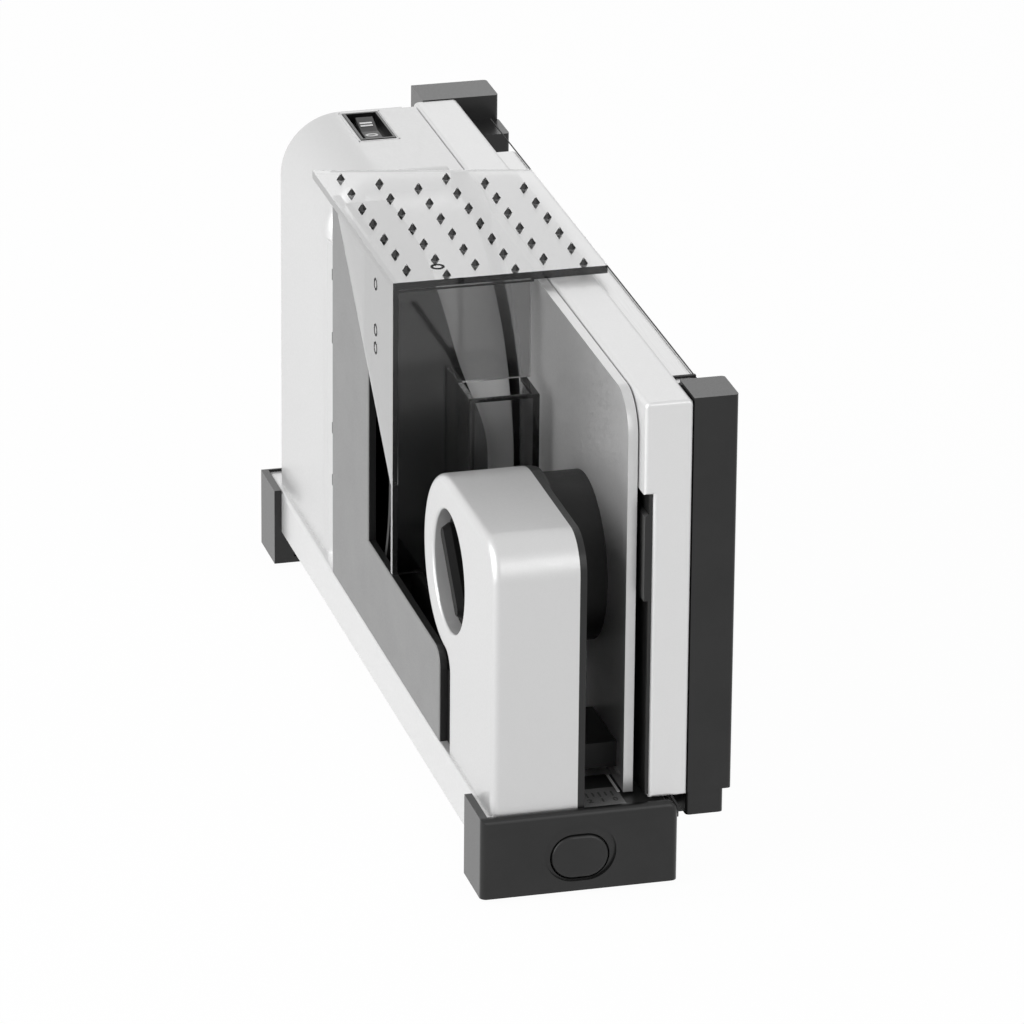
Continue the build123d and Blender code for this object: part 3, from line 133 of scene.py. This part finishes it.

# Food holder: teeth, painted dark borders and moulding marks
TOOTH_HALF = 0.00166
TOOTH_TIP = 0.00018
TOOTH_HEIGHT = 0.0023
TOOTH_COLUMN_PITCH = 0.01285
TOOTH_ROW_PITCH = 0.0168
FIRST_TOOTH = (-0.0385, 0.0675)
TOOTH_COLUMNS = [(0, 7), (0.5, 7), (1, 6), (0.5, 7), (1, 6), (1.5, 6)]
TOOTH_CORNERS = ((1, 0), (0, 1), (-1, 0), (0, -1))
HOLDER_WALL = 0.0024
HOLDER_FRONT = -0.0452
HOLDER_PLATE_WALL = 0.003
HOLDER_PANEL_BOTTOM = 0.0741
GRIP_LEFT = -0.0222
GRIP_RIGHT = 0.0038
GRIP_TOP = 0.1472
GRIP_FRONT = -0.0629
# Sizes of the painted dark borders of the food holder
EDGE_SHADE_PROUD = 0.0001
EDGE_SHADE_WIDTH = 0.0012
EDGE_SHADE_LIP = 0.0019
EDGE_SHADE_DROP = 0.0008
RING_STEPS = 28
RING_WIDTH = 0.0009
RING_RADIUS = 0.0024
RING_HEIGHT = 0.00015
PLATE_RING_RADIUS = 0.0026
PLATE_MARK = (-0.0266, -0.0321)
WING_MARKS = [(-0.0190, 0.1782), (-0.0191, 0.1604), (-0.0191, 0.1534)]

# Painted shade on the table rail: a dark line along its far edge and a dark band at its front end
RAIL_SHADE_FRONT = 0.0108
RAIL_SHADE_WIDTH = 0.0014
RAIL_SHADE_INSET = 0.0013
RAIL_SHADE_RISE = 0.0006
RAIL_SHADE_FOLD = 0.0012
RAIL_SHADE_LINE = 0.0003

# Clips of the side panel
CLIP_HEIGHTS = (0.1506, 0.1252, 0.0888, 0.0676)
CLIP_LENGTH = 0.0016
CLIP_HEIGHT = 0.0042
CLIP_DEPTH = 0.002
CLIP_INSET = 0.0001
CLIP_OVERLAP = 0.0003

# Switch: words, place along the key, tilt in degrees and drop below its top
BEZEL_MARGIN = 0.0012
BEZEL_WIDTH = 0.0005
BEZEL_HEIGHT = 0.0002
SWITCH_WORDS = [("II", 0.0045, 16.0, 0.0013), ("0", -0.0045, 0.0, 0.0026)]
SWITCH_MARK_SIZE = 0.0068


# Materials

def new_material(name):
    """Material with its nodes and links at hand."""
    material = bpy.data.materials.new(name)
    material.use_nodes = True
    return material, material.node_tree.nodes, material.node_tree.links


def set_inputs(shader, **values):
    """Set inputs of a node by name, with _ for each space."""
    for key, value in values.items():
        shader.inputs[key.replace("_", " ")].default_value = value


def add_noise(nodes, links, scale, detail=2.0, roughness=0.5):
    """Noise in the object's own coordinates, with scale in cycles a metre."""
    place = nodes.new("ShaderNodeTexCoord")
    noise = nodes.new("ShaderNodeTexNoise")
    set_inputs(noise, Scale=scale, Detail=detail, Roughness=roughness)
    links.new(place.outputs["Object"], noise.inputs["Vector"])
    return noise.outputs["Fac"]


def add_ramp(nodes, links, factor, low, high, ends=RAMP_ENDS):
    """Grey level that runs from low to high between two values of the factor."""
    ramp = nodes.new("ShaderNodeValToRGB")
    elements = ramp.color_ramp.elements
    for index, level in enumerate((low, high)):
        elements[index].position = ends[index]
        elements[index].color = (level, level, level, 1)
    links.new(factor, ramp.inputs["Fac"])
    return ramp.outputs["Color"]


def add_bump(nodes, links, height, shader, strength, distance):
    """Fine relief on the normal of a shader."""
    bump = nodes.new("ShaderNodeBump")
    set_inputs(bump, Strength=strength, Distance=distance)
    links.new(height, bump.inputs["Height"])
    links.new(bump.outputs["Normal"], shader.inputs["Normal"])


def metallic_lacquer(name, tone, metallic, roughness, flake=0.05, coat=0.25):
    """Sprayed silver finish: fine bright flakes in a satin clear coat."""
    material, nodes, links = new_material(name)
    shader = nodes["Principled BSDF"]
    set_inputs(shader, Metallic=metallic, Coat_Weight=coat, Coat_Roughness=LACQUER_COAT_ROUGHNESS)
    flakes = add_noise(nodes, links, FLAKE_SCALE, roughness=0.6)
    colour = add_ramp(nodes, links, flakes, tone - flake, tone + flake)
    links.new(colour, shader.inputs["Base Color"])
    cloud = add_noise(nodes, links, FLAKE_CLOUD_SCALE)
    rough = add_ramp(nodes, links, cloud, roughness - LACQUER_SPREAD, roughness + LACQUER_SPREAD)
    links.new(rough, shader.inputs["Roughness"])
    add_bump(nodes, links, flakes, shader, FLAKE_BUMP, FLAKE_BUMP_DISTANCE)
    return material


def moulded_plastic(name, low, high, roughness, grain=GRAIN_SCALE, depth=GRAIN_BUMP, specular=0.5, coat=0.0):
    """Spark eroded black or grey plastic with a fine even grain."""
    material, nodes, links = new_material(name)
    shader = nodes["Principled BSDF"]
    set_inputs(shader, Specular_IOR_Level=specular, Coat_Weight=coat, Coat_Roughness=MOULD_COAT_ROUGHNESS)
    cloud = add_noise(nodes, links, MOULD_CLOUD_SCALE, detail=3.0)
    colour = add_ramp(nodes, links, cloud, low, high)
    links.new(colour, shader.inputs["Base Color"])
    grainy = add_noise(nodes, links, grain, roughness=0.6)
    rough = add_ramp(nodes, links, grainy, roughness - MOULD_SPREAD, roughness + MOULD_SPREAD, GRAIN_RAMP_ENDS)
    links.new(rough, shader.inputs["Roughness"])
    add_bump(nodes, links, grainy, shader, depth, GRAIN_BUMP_DISTANCE)
    return material


def polished_share(nodes, links):
    """Painted sheen: 1 on the faces that look up or sideways, which get a clear coat reflection, 0 on the
    faces that look along the base.
    """
    place = nodes.new("ShaderNodeTexCoord")
    split = nodes.new("ShaderNodeSeparateXYZ")
    size = nodes.new("ShaderNodeMath")
    size.operation = "ABSOLUTE"
    share = nodes.new("ShaderNodeMath")
    share.operation = "SUBTRACT"
    share.inputs[0].default_value = 1.0
    links.new(place.outputs["Normal"], split.inputs["Vector"])
    links.new(split.outputs["Y"], size.inputs[0])
    links.new(size.outputs["Value"], share.inputs[1])
    return share.outputs["Value"]


def smoke_plastic(name):
    """Clear tinted plastic with a faint flow pattern, darker where light passes through more of it."""
    material, nodes, links = new_material(name)
    shader = nodes["Principled BSDF"]
    set_inputs(shader, Transmission_Weight=1.0, IOR=SMOKE_IOR)
    flow = add_noise(nodes, links, FLOW_SCALE)
    colour = add_ramp(nodes, links, flow, *SMOKE_TONES)
    links.new(colour, shader.inputs["Base Color"])
    rough = add_ramp(nodes, links, flow, *SMOKE_ROUGHNESS)
    links.new(rough, shader.inputs["Roughness"])
    add_bump(nodes, links, flow, shader, FLOW_BUMP, FLOW_BUMP_DISTANCE)
    # The coat weight from the face direction is a painted sheen, which brightens the faces of the holder that
    # look up or sideways.
    links.new(polished_share(nodes, links), shader.inputs["Coat Weight"])
    rays = nodes.new("ShaderNodeLightPath")
    clear = nodes.new("ShaderNodeBsdfTransparent")
    clear.inputs["Color"].default_value = (SMOKE_SHADOW, SMOKE_SHADOW, SMOKE_SHADOW, 1)
    mix = nodes.new("ShaderNodeMixShader")
    links.new(rays.outputs["Is Shadow Ray"], mix.inputs["Fac"])
    links.new(shader.outputs["BSDF"], mix.inputs[1])
    links.new(clear.outputs["BSDF"], mix.inputs[2])
    links.new(mix.outputs["Shader"], nodes["Material Output"].inputs["Surface"])
    tint = nodes.new("ShaderNodeVolumeAbsorption")
    tint.inputs["Color"].default_value = (0, 0, 0, 1)
    tint.inputs["Density"].default_value = SMOKE_DENSITY
    links.new(tint.outputs["Volume"], nodes["Material Output"].inputs["Volume"])
    return material


def skinned_panel(name):
    """Black moulding with a painted light grey sheen on the faces that look left, toward the key light; the
    black shows on its other faces and edges.
    """
    # The grey of this base is the painted sheen of the left light; EDGE_TONE is the black of the moulding.
    material = moulded_plastic(name, 0.17, 0.19, 0.42, specular=0.4)
    nodes = material.node_tree.nodes
    links = material.node_tree.links
    shader = nodes["Principled BSDF"]
    painted_sheen_tone = shader.inputs["Base Color"].links[0].from_socket
    place = nodes.new("ShaderNodeTexCoord")
    split = nodes.new("ShaderNodeSeparateXYZ")
    sheen_faces = nodes.new("ShaderNodeMath")
    sheen_faces.operation = "LESS_THAN"
    sheen_faces.inputs[1].default_value = SHEEN_FACE_NORMAL
    mix = nodes.new("ShaderNodeMix")
    mix.data_type = "RGBA"
    mix.inputs["A"].default_value = (EDGE_TONE, EDGE_TONE, EDGE_TONE, 1)
    links.new(place.outputs["Normal"], split.inputs["Vector"])
    links.new(split.outputs["X"], sheen_faces.inputs[0])
    links.new(sheen_faces.outputs["Value"], mix.inputs["Factor"])
    links.new(painted_sheen_tone, mix.inputs["B"])
    links.new(mix.outputs["Result"], shader.inputs["Base Color"])
    return material


def dark_gloss(name, tone, roughness=0.12):
    """Polished dark finish with a faint waviness, used for the painted shade of the dark borders on the tinted
    plastic.
    """
    material, nodes, links = new_material(name)
    shader = nodes["Principled BSDF"]
    cloud = add_noise(nodes, links, GLOSS_SCALE)
    colour = add_ramp(nodes, links, cloud, tone * GLOSS_TONE_RANGE[0], tone * GLOSS_TONE_RANGE[1])
    links.new(colour, shader.inputs["Base Color"])
    rough = add_ramp(nodes, links, cloud, roughness, roughness + GLOSS_SPREAD)
    links.new(rough, shader.inputs["Roughness"])
    add_bump(nodes, links, cloud, shader, GLOSS_BUMP, METAL_BUMP_DISTANCE)
    return material


def brushed_metal(name, tone, roughness, stretch=(1, 1, 1), scale=BRUSH_SCALE, bump=BRUSH_BUMP):
    """Bare metal with fine lines along the axis that stretch makes small."""
    material, nodes, links = new_material(name)
    shader = nodes["Principled BSDF"]
    set_inputs(shader, Metallic=1.0)
    place = nodes.new("ShaderNodeTexCoord")
    mapping = nodes.new("ShaderNodeMapping")
    mapping.inputs["Scale"].default_value = stretch
    noise = nodes.new("ShaderNodeTexNoise")
    set_inputs(noise, Scale=scale, Detail=3.0)
    links.new(place.outputs["Object"], mapping.inputs["Vector"])
    links.new(mapping.outputs["Vector"], noise.inputs["Vector"])
    lines = noise.outputs["Fac"]
    colour = add_ramp(nodes, links, lines, tone - METAL_TONE_SPREAD, tone + METAL_TONE_SPREAD)
    links.new(colour, shader.inputs["Base Color"])
    rough = add_ramp(nodes, links, lines, roughness - METAL_SPREAD, roughness + METAL_SPREAD)
    links.new(rough, shader.inputs["Roughness"])
    add_bump(nodes, links, lines, shader, bump, METAL_BUMP_DISTANCE)
    return material


def rubber(name):
    """Dull black rubber with a coarse grain."""
    return moulded_plastic(name, 0.018, 0.03, 0.78, grain=RUBBER_SCALE, depth=RUBBER_BUMP, specular=0.3)


def print_paint(name, tone):
    """Thin printed ink with a slightly uneven tone."""
    material, nodes, links = new_material(name)
    shader = nodes["Principled BSDF"]
    set_inputs(shader, Roughness=0.5)
    cloud = add_noise(nodes, links, INK_SCALE)
    colour = add_ramp(nodes, links, cloud, tone - INK_UNEVENNESS, tone)
    links.new(colour, shader.inputs["Base Color"])
    return material


def make_materials():
    """Every finish of the part, by the key that NODE_MATERIALS uses."""
    return {
        "silver": metallic_lacquer("silver_lacquer", 0.62, 0.6, 0.40, flake=0.025),
        "carriage": metallic_lacquer("carriage_lacquer", 0.70, 0.55, 0.42, flake=0.02),
        "plate": metallic_lacquer("stop_plate_lacquer", 0.58, 0.75, 0.36, flake=0.02),
        "sheet": metallic_lacquer("base_sheet", 0.68, 0.55, 0.36, flake=0.02),
        "black": moulded_plastic("black_plastic", 0.006, 0.010, 0.34, specular=0.2, coat=0.42),
        "panel": skinned_panel("panel_plastic"),
        "frame": moulded_plastic("frame_plastic", 0.006, 0.010, 0.50, specular=0.25),
        "knob": moulded_plastic("knob_plastic", 0.004, 0.006, 0.5, specular=0.06),
        "mark": moulded_plastic("mark_plastic", 0.012, 0.02, 0.6, specular=0.08),
        "key": moulded_plastic("key_plastic", 0.05, 0.07, 0.40, specular=0.4),
        "insert": moulded_plastic("scale_plastic", 0.014, 0.02, 0.45, specular=0.3),
        "field": print_paint("scale_field_ink", 0.2),
        "smoke": smoke_plastic("smoke_plastic"),
        "tooth": moulded_plastic("tooth_plastic", 0.004, 0.008, 0.3, specular=0.15),
        # tint is the painted shade of the dark borders of the food holder
        "tint": dark_gloss("painted_edge_shade", 0.012),
        "steel": brushed_metal("ground_steel", 0.55, 0.28, (1, 30, 30)),
        "aluminium": brushed_metal("anodised_aluminium", 0.66, 0.40, (1, 0.02, 1), scale=FINE_BRUSH_SCALE,
                                   bump=FINE_BRUSH_BUMP),
        "rubber": rubber("foot_rubber"),
        "white": moulded_plastic("gear_plastic", 0.72, 0.8, 0.5),
        "bronze": brushed_metal("bush_bronze", 0.4, 0.4),
        "white_ink": print_paint("white_ink", 0.85),
        "black_ink": print_paint("black_ink", 0.09),
    }


NODE_MATERIALS = {
    "silver": ["motor_housing", "knob_housing"],
    "carriage": ["carriage_plate"],
    "plate": ["stop_plate"],
    "sheet": ["base_profile"],
    "black": ["front_base_cap", "rear_base_cap", "release_button", "switch_body", "cord_gland",
              "knob_backplate", "carriage_stopper", "table_front_cap", "table_rear_cap", "hinge_arms",
              "blade_lock", "carriage_rails"],
    "panel": ["side_panel"],
    "frame": ["inner_frame", "stop_drum", "stop_guide"],
    "knob": ["knob"],
    "key": ["rocker"],
    "insert": ["scale_plate"],
    "smoke": ["food_holder"],
    "steel": ["blade", "blade_axle", "motor_shaft", "motor_armature", "motor_can", "knob_spindle",
              "hinge_brackets", "hinge_pins", "housing_screws"],
    "aluminium": ["table_rail"],
    "rubber": ["rubber_feet", "table_feet"],
    "white": ["blade_flange", "worm_wheel"],
    "bronze": ["axle_bushes"],
}


def dress_nodes(materials):
    """Give every CAD node its own finish."""
    for key, names in NODE_MATERIALS.items():
        for name in names:
            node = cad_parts[name]
            for slot in node.material_slots:
                slot.material = materials[key]


# Small pieces

def mesh_object(name, shape, material):
    """Object with one material, made from a mesh that was built."""
    mesh = bpy.data.meshes.new(name)
    shape.to_mesh(mesh)
    shape.free()
    mesh.materials.append(material)
    thing = bpy.data.objects.new(name, mesh)
    bpy.context.scene.collection.objects.link(thing)
    return thing


def add_bar(shape, low, high):
    """Add a box between two corners to a mesh that is being built."""
    made = bmesh.ops.create_cube(shape, size=1.0)
    size = [high[i] - low[i] for i in range(3)]
    middle = [(high[i] + low[i]) / 2 for i in range(3)]
    bmesh.ops.scale(shape, verts=made["verts"], vec=size)
    bmesh.ops.translate(shape, verts=made["verts"], vec=middle)


def add_ring(shape, middle, across, along, radius, height):
    """Add a thin ring that lies in the plane of two directions."""
    normal = across.cross(along)
    loops = []
    for r, h in ((radius - RING_WIDTH, 0), (radius - RING_WIDTH, height), (radius, height), (radius, 0)):
        loop = []
        for i in range(RING_STEPS):
            angle = 2 * math.pi * i / RING_STEPS
            spot = middle + across * r * math.cos(angle) + along * r * math.sin(angle) + normal * h
            loop.append(shape.verts.new(spot))
        loops.append(loop)
    for a in range(4):
        first, second = loops[a], loops[(a + 1) % 4]
        for i in range(RING_STEPS):
            k = (i + 1) % RING_STEPS
            shape.faces.new((first[i], first[k], second[k], second[i]))


def finish_piece(name, shape, material, body):
    """Turn a mesh that was built into a piece that rides one body."""
    bmesh.ops.recalc_face_normals(shape, faces=shape.faces)
    piece = mesh_object(name, shape, material)
    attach(piece, body)


def scale_marks(material, field):
    """Grey field with ticks and figures, counted from the knob side of the stop plate at rest."""
    low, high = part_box("scale_plate")
    zero_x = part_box("stop_plate")[0][0] - SCALE_ZERO
    rear = low[1] + TICK_REAR
    top = high[2]
    shape = bmesh.new()
    add_bar(shape,
            (low[0] + MARK_THICKNESS, low[1] + MARK_THICKNESS, top - MARK_THICKNESS),
            (zero_x + FIELD_RIGHT, low[1] + FIELD_LENGTH, top + FIELD_RISE))
    finish_piece("scale_field", shape, field, "chassis")
    shape = bmesh.new()
    for step in range(TICK_COUNT):
        x = zero_x - step * TICK_PITCH
        length = TICK_LENGTH if step % 2 == 0 else HALF_TICK_LENGTH
        add_bar(shape,
                (x - TICK_WIDTH / 2, rear - length, top),
                (x + TICK_WIDTH / 2, rear, top + MARK_THICKNESS))
    finish_piece("scale_ticks", shape, material, "chassis")
    for digit in range(DIGIT_COUNT):
        place = (zero_x - 2 * digit * TICK_PITCH, rear - DIGIT_DROP, top)
        add_text("scale_digit_%d" % digit, str(digit), place, DIGIT_SIZE, Matrix.Identity(4), material,
                 "chassis")


def scale_pointer(material):
    """White line on the foot of the stop plate, which shows the set thickness."""
    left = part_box("stop_plate")[0][0] - POINTER_SIDE
    low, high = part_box("scale_plate")
    front = low[1] + POINTER_FRONT
    bottom = high[2] + POINTER_LIFT
    shape = bmesh.new()
    add_bar(shape,
            (left, front, bottom),
            (left + POINTER_WIDTH, front + POINTER_LENGTH, bottom + POINTER_HEIGHT))
    finish_piece("scale_pointer", shape, material, "stop")


def holder_teeth(material):
    """Dark points of the toothed plate."""
    plate_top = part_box("food_holder")[1][2] - TOOTH_HEIGHT
    shape = bmesh.new()
    for column, (offset, count) in enumerate(TOOTH_COLUMNS):
        x = FIRST_TOOTH[0] + column * TOOTH_COLUMN_PITCH
        for row in range(count):
            y = FIRST_TOOTH[1] - (offset + row) * TOOTH_ROW_PITCH
            add_tooth(shape, x, y, plate_top)
    finish_piece("holder_teeth", shape, material, "food_holder")


def add_tooth(shape, x, y, bottom):
    """Add a four sided point with a blunt tip."""
    ring = []
    for reach, z in ((TOOTH_HALF, bottom), (TOOTH_TIP, bottom + TOOTH_HEIGHT)):
        ring.append([shape.verts.new((x + reach * a, y + reach * b, z)) for a, b in TOOTH_CORNERS])
    for i in range(4):
        k = (i + 1) % 4
        shape.faces.new((ring[0][i], ring[0][k], ring[1][k], ring[1][i]))
    shape.faces.new(ring[1])
    shape.faces.new(list(reversed(ring[0])))


def holder_marks(material):
    """Moulding marks: a ring on the plate and three on the wing."""
    low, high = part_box("food_holder")
    plate_top = high[2] - TOOTH_HEIGHT
    shape = bmesh.new()
    x_axis, y_axis, z_axis = Vector((1, 0, 0)), Vector((0, 1, 0)), Vector((0, 0, 1))
    spot = Vector((PLATE_MARK[0], PLATE_MARK[1], plate_top))
    add_ring(shape, spot, x_axis, y_axis, PLATE_RING_RADIUS, RING_HEIGHT)
    for y, z in WING_MARKS:
        add_ring(shape, Vector((low[0], y, z)), z_axis, y_axis, RING_RADIUS, RING_HEIGHT / 3)
    finish_piece("holder_mould_marks", shape, material, "food_holder")


def holder_edges(material):
    """Painted dark borders: shade painted where one looks along the thickness of the tinted plastic."""
    low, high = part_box("food_holder")
    under = high[2] - TOOTH_HEIGHT - HOLDER_PLATE_WALL
    face = HOLDER_FRONT - EDGE_SHADE_PROUD
    grip_face = GRIP_FRONT - EDGE_SHADE_PROUD
    grip_rim = GRIP_TOP - EDGE_SHADE_WIDTH
    grip_inner = GRIP_RIGHT - HOLDER_WALL
    borders = [
        # left edge and top edge of the front panel
        ((low[0] + EDGE_SHADE_PROUD, face, HOLDER_PANEL_BOTTOM), (low[0] + EDGE_SHADE_LIP, HOLDER_FRONT, under)),
        ((low[0] + EDGE_SHADE_LIP, face, under - EDGE_SHADE_DROP), (GRIP_RIGHT + HOLDER_WALL, HOLDER_FRONT, under)),
        # front and right rim of the grip
        ((GRIP_LEFT, grip_face, grip_rim), (GRIP_RIGHT, GRIP_FRONT + EDGE_SHADE_WIDTH, GRIP_TOP + EDGE_SHADE_PROUD)),
        ((grip_inner, GRIP_FRONT + EDGE_SHADE_WIDTH, grip_rim), (GRIP_RIGHT, HOLDER_FRONT, GRIP_TOP + EDGE_SHADE_PROUD)),
        # upright edges of the grip
        ((GRIP_LEFT - EDGE_SHADE_PROUD, grip_face, HOLDER_PANEL_BOTTOM),
         (GRIP_LEFT + EDGE_SHADE_WIDTH / 2, GRIP_FRONT + EDGE_SHADE_WIDTH, grip_rim)),
        ((grip_inner, grip_face, HOLDER_PANEL_BOTTOM), (GRIP_RIGHT, GRIP_FRONT, grip_rim)),
    ]
    shape = bmesh.new()
    for corner, opposite in borders:
        add_bar(shape, corner, opposite)
    finish_piece("holder_painted_edge_shade", shape, material, "food_holder")


def rail_trim(material):
    """Painted shade: a dark line along the far edge of the table rail and a dark hook of shade at its front
    end.
    """
    low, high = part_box("table_rail")
    front = low[1] + RAIL_SHADE_FRONT
    edge = high[0] - RAIL_SHADE_INSET
    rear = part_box("table_rear_cap")[0][1]
    top = high[2] + MARK_THICKNESS
    shape = bmesh.new()
    add_bar(shape, (edge - RAIL_SHADE_LINE, front, high[2] - RAIL_SHADE_LINE), (edge, rear, top))
    add_bar(shape, (low[0], front - RAIL_SHADE_WIDTH, high[2] - RAIL_SHADE_LINE), (edge, front, top + RAIL_SHADE_RISE))
    add_bar(shape,
            (edge - RAIL_SHADE_WIDTH, front - RAIL_SHADE_WIDTH, high[2] - RAIL_SHADE_FOLD),
            (edge + RAIL_SHADE_LINE, front, high[2] - RAIL_SHADE_LINE))
    finish_piece("rail_trim", shape, material, "table")


def panel_clips(material):
    """Ends of the clips that hold the side panel, at its rear edge."""
    low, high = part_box("side_panel")
    start = high[1] - CLIP_OVERLAP
    shape = bmesh.new()
    for z in CLIP_HEIGHTS:
        add_bar(shape,
                (low[0] + CLIP_INSET, start, z),
                (low[0] + CLIP_DEPTH, start + CLIP_LENGTH, z + CLIP_HEIGHT))
    finish_piece("panel_clips", shape, material, "chassis")


def switch_bezel(material):
    """Fine raised line round the switch hole."""
    low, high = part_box("switch_body")
    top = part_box("motor_housing")[1][2]
    shape = bmesh.new()
    left, front = low[0] - BEZEL_MARGIN, low[1] - BEZEL_MARGIN
    right, rear = high[0] + BEZEL_MARGIN, high[1] + BEZEL_MARGIN
    for x0, y0, x1, y1 in ((left, front, right, front + BEZEL_WIDTH),
                           (left, rear - BEZEL_WIDTH, right, rear),
                           (left, front, left + BEZEL_WIDTH, rear),
                           (right - BEZEL_WIDTH, front, right, rear)):
        add_bar(shape, (x0, y0, top - BEZEL_HEIGHT), (x1, y1, top + BEZEL_HEIGHT))
    finish_piece("switch_bezel", shape, material, "chassis")


def switch_marks(material):
    """The marks of the two switch positions, printed on the halves of the key."""
    low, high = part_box("rocker")
    middle_x = (low[0] + high[0]) / 2
    middle_y = (low[1] + high[1]) / 2
    turn = Matrix.Rotation(math.radians(90), 4, "Z")
    for words, y, tilt, drop in SWITCH_WORDS:
        slope = Matrix.Rotation(math.radians(tilt), 4, "X")
        place = (middle_x, middle_y + y, high[2] - drop)
        add_text("switch_mark_" + words, words, place, SWITCH_MARK_SIZE, slope @ turn, material,
                 "rocker")


def add_text(name, words, place, size, turn, material, body):
    """Printed figure lying on a surface, as thin solid letters."""
    curve = bpy.data.curves.new(name, "FONT")
    curve.body = words
    curve.size = size
    curve.extrude = MARK_THICKNESS / 2
    curve.offset = LETTER_WEIGHT
    curve.align_x = "CENTER"
    curve.align_y = "CENTER"
    curve.materials.append(material)
    thing = bpy.data.objects.new(name, curve)
    bpy.context.scene.collection.objects.link(thing)
    lift = Matrix.Translation((0, 0, MARK_THICKNESS / 2))
    thing.matrix_world = Matrix.Translation(Vector(place)) @ turn @ lift
    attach(thing, body)


# Stage

def seen_rays(nodes, links):
    """1 for rays that show the backdrop: camera, glossy and transmission rays."""
    rays = nodes.new("ShaderNodeLightPath")
    camera_or_gloss = nodes.new("ShaderNodeMath")
    camera_or_gloss.operation = "MAXIMUM"
    any_seen = nodes.new("ShaderNodeMath")
    any_seen.operation = "MAXIMUM"
    links.new(rays.outputs["Is Camera Ray"], camera_or_gloss.inputs[0])
    links.new(rays.outputs["Is Glossy Ray"], camera_or_gloss.inputs[1])
    links.new(camera_or_gloss.outputs["Value"], any_seen.inputs[0])
    links.new(rays.outputs["Is Transmission Ray"], any_seen.inputs[1])
    return any_seen.outputs["Value"]


def add_floor():
    """Pale plain floor that glows to white where the backdrop is seen."""
    mesh = bpy.data.meshes.new("floor")
    signs = ((-1, -1), (1, -1), (1, 1), (-1, 1))
    mesh.from_pydata([(a * FLOOR_REACH, b * FLOOR_REACH, 0) for a, b in signs], [], [(0, 1, 2, 3)])
    floor = bpy.data.objects.new("floor", mesh)
    bpy.context.scene.collection.objects.link(floor)
    material, nodes, links = new_material("pale_floor")
    shader = nodes["Principled BSDF"]
    pale = (FLOOR_TONE, FLOOR_TONE, FLOOR_TONE, 1)
    set_inputs(shader, Base_Color=pale, Roughness=0.9, Specular_IOR_Level=0.1)
    glow = nodes.new("ShaderNodeEmission")
    share = nodes.new("ShaderNodeMath")
    share.operation = "MULTIPLY"
    share.inputs[1].default_value = FLOOR_GLOW
    mix = nodes.new("ShaderNodeMixShader")
    links.new(seen_rays(nodes, links), share.inputs[0])
    links.new(share.outputs["Value"], mix.inputs["Fac"])
    links.new(shader.outputs["BSDF"], mix.inputs[1])
    links.new(glow.outputs["Emission"], mix.inputs[2])
    links.new(mix.outputs["Shader"], nodes["Material Output"].inputs["Surface"])
    mesh.materials.append(material)


def set_world():
    """White backdrop, with a softer level for the light that it gives."""
    world = bpy.data.worlds.new("studio")
    bpy.context.scene.world = world
    world.use_nodes = True
    nodes = world.node_tree.nodes
    links = world.node_tree.links
    back = nodes["Background"]
    back.inputs["Color"].default_value = (1, 1, 1, 1)
    back.inputs["Strength"].default_value = WORLD_LEVEL
    white = nodes.new("ShaderNodeBackground")
    white.inputs["Color"].default_value = (1, 1, 1, 1)
    mix = nodes.new("ShaderNodeMixShader")
    links.new(seen_rays(nodes, links), mix.inputs["Fac"])
    links.new(back.outputs["Background"], mix.inputs[1])
    links.new(white.outputs["Background"], mix.inputs[2])
    links.new(mix.outputs["Shader"], nodes["World Output"].inputs["Surface"])


def add_softbox(name, box, watts):
    """Rectangular light, given by its place, width and height."""
    place, width, height = box
    light = bpy.data.lights.new(name, "AREA")
    light.shape = "RECTANGLE"
    light.size = width
    light.size_y = height
    light.energy = watts
    lamp = bpy.data.objects.new(name, light)
    bpy.context.scene.collection.objects.link(lamp)
    lamp.location = place
    lamp.rotation_euler = (Vector(LIGHT_AIM) - Vector(place)).to_track_quat("-Z", "Y").to_euler()


def add_lights():
    add_softbox("left_key", KEY_BOX, KEY_WATTS)
    add_softbox("front_fill", FRONT_BOX, FRONT_WATTS)
    add_softbox("top_box", TOP_BOX, TOP_WATTS)
    add_softbox("back_box", BACK_BOX, BACK_WATTS)


def add_camera():
    """Camera of the photograph, turned about its own axis by the roll."""
    azimuth = math.radians(CAMERA_AZIMUTH)
    elevation = math.radians(CAMERA_ELEVATION)
    roll = math.radians(CAMERA_ROLL)
    flat = math.cos(elevation)
    back = Vector((math.sin(azimuth) * flat, -math.cos(azimuth) * flat, math.sin(elevation)))
    level = Vector((math.cos(azimuth), math.sin(azimuth), 0))
    upright = back.cross(level)
    right = math.cos(roll) * level + math.sin(roll) * upright
    up = math.cos(roll) * upright - math.sin(roll) * level
    place = Vector(CAMERA_AIM) + CAMERA_DISTANCE * back
    lens = bpy.data.cameras.new("photo_camera")
    lens.sensor_fit = "HORIZONTAL"
    lens.sensor_width = SENSOR_WIDTH
    lens.lens = FOCAL_PIXELS / IMAGE_PIXELS * SENSOR_WIDTH
    lens.clip_end = CAMERA_FAR
    camera = bpy.data.objects.new("photo_camera", lens)
    bpy.context.scene.collection.objects.link(camera)
    camera.matrix_world = Matrix((
        (right.x, up.x, back.x, place.x),
        (right.y, up.y, back.y, place.y),
        (right.z, up.z, back.z, place.z),
        (0, 0, 0, 1)))
    bpy.context.scene.camera = camera


bpy.context.scene.view_settings.view_transform = "Standard"
add_camera()
set_world()
add_lights()
add_floor()
finishes = make_materials()
dress_nodes(finishes)
scale_marks(finishes["black_ink"], finishes["field"])
scale_pointer(finishes["white_ink"])
holder_teeth(finishes["tooth"])
holder_marks(finishes["mark"])
holder_edges(finishes["tint"])
# Painted shade on the table rail, in the black frame plastic
rail_trim(finishes["frame"])
panel_clips(finishes["black"])
switch_bezel(finishes["silver"])
switch_marks(finishes["white_ink"])
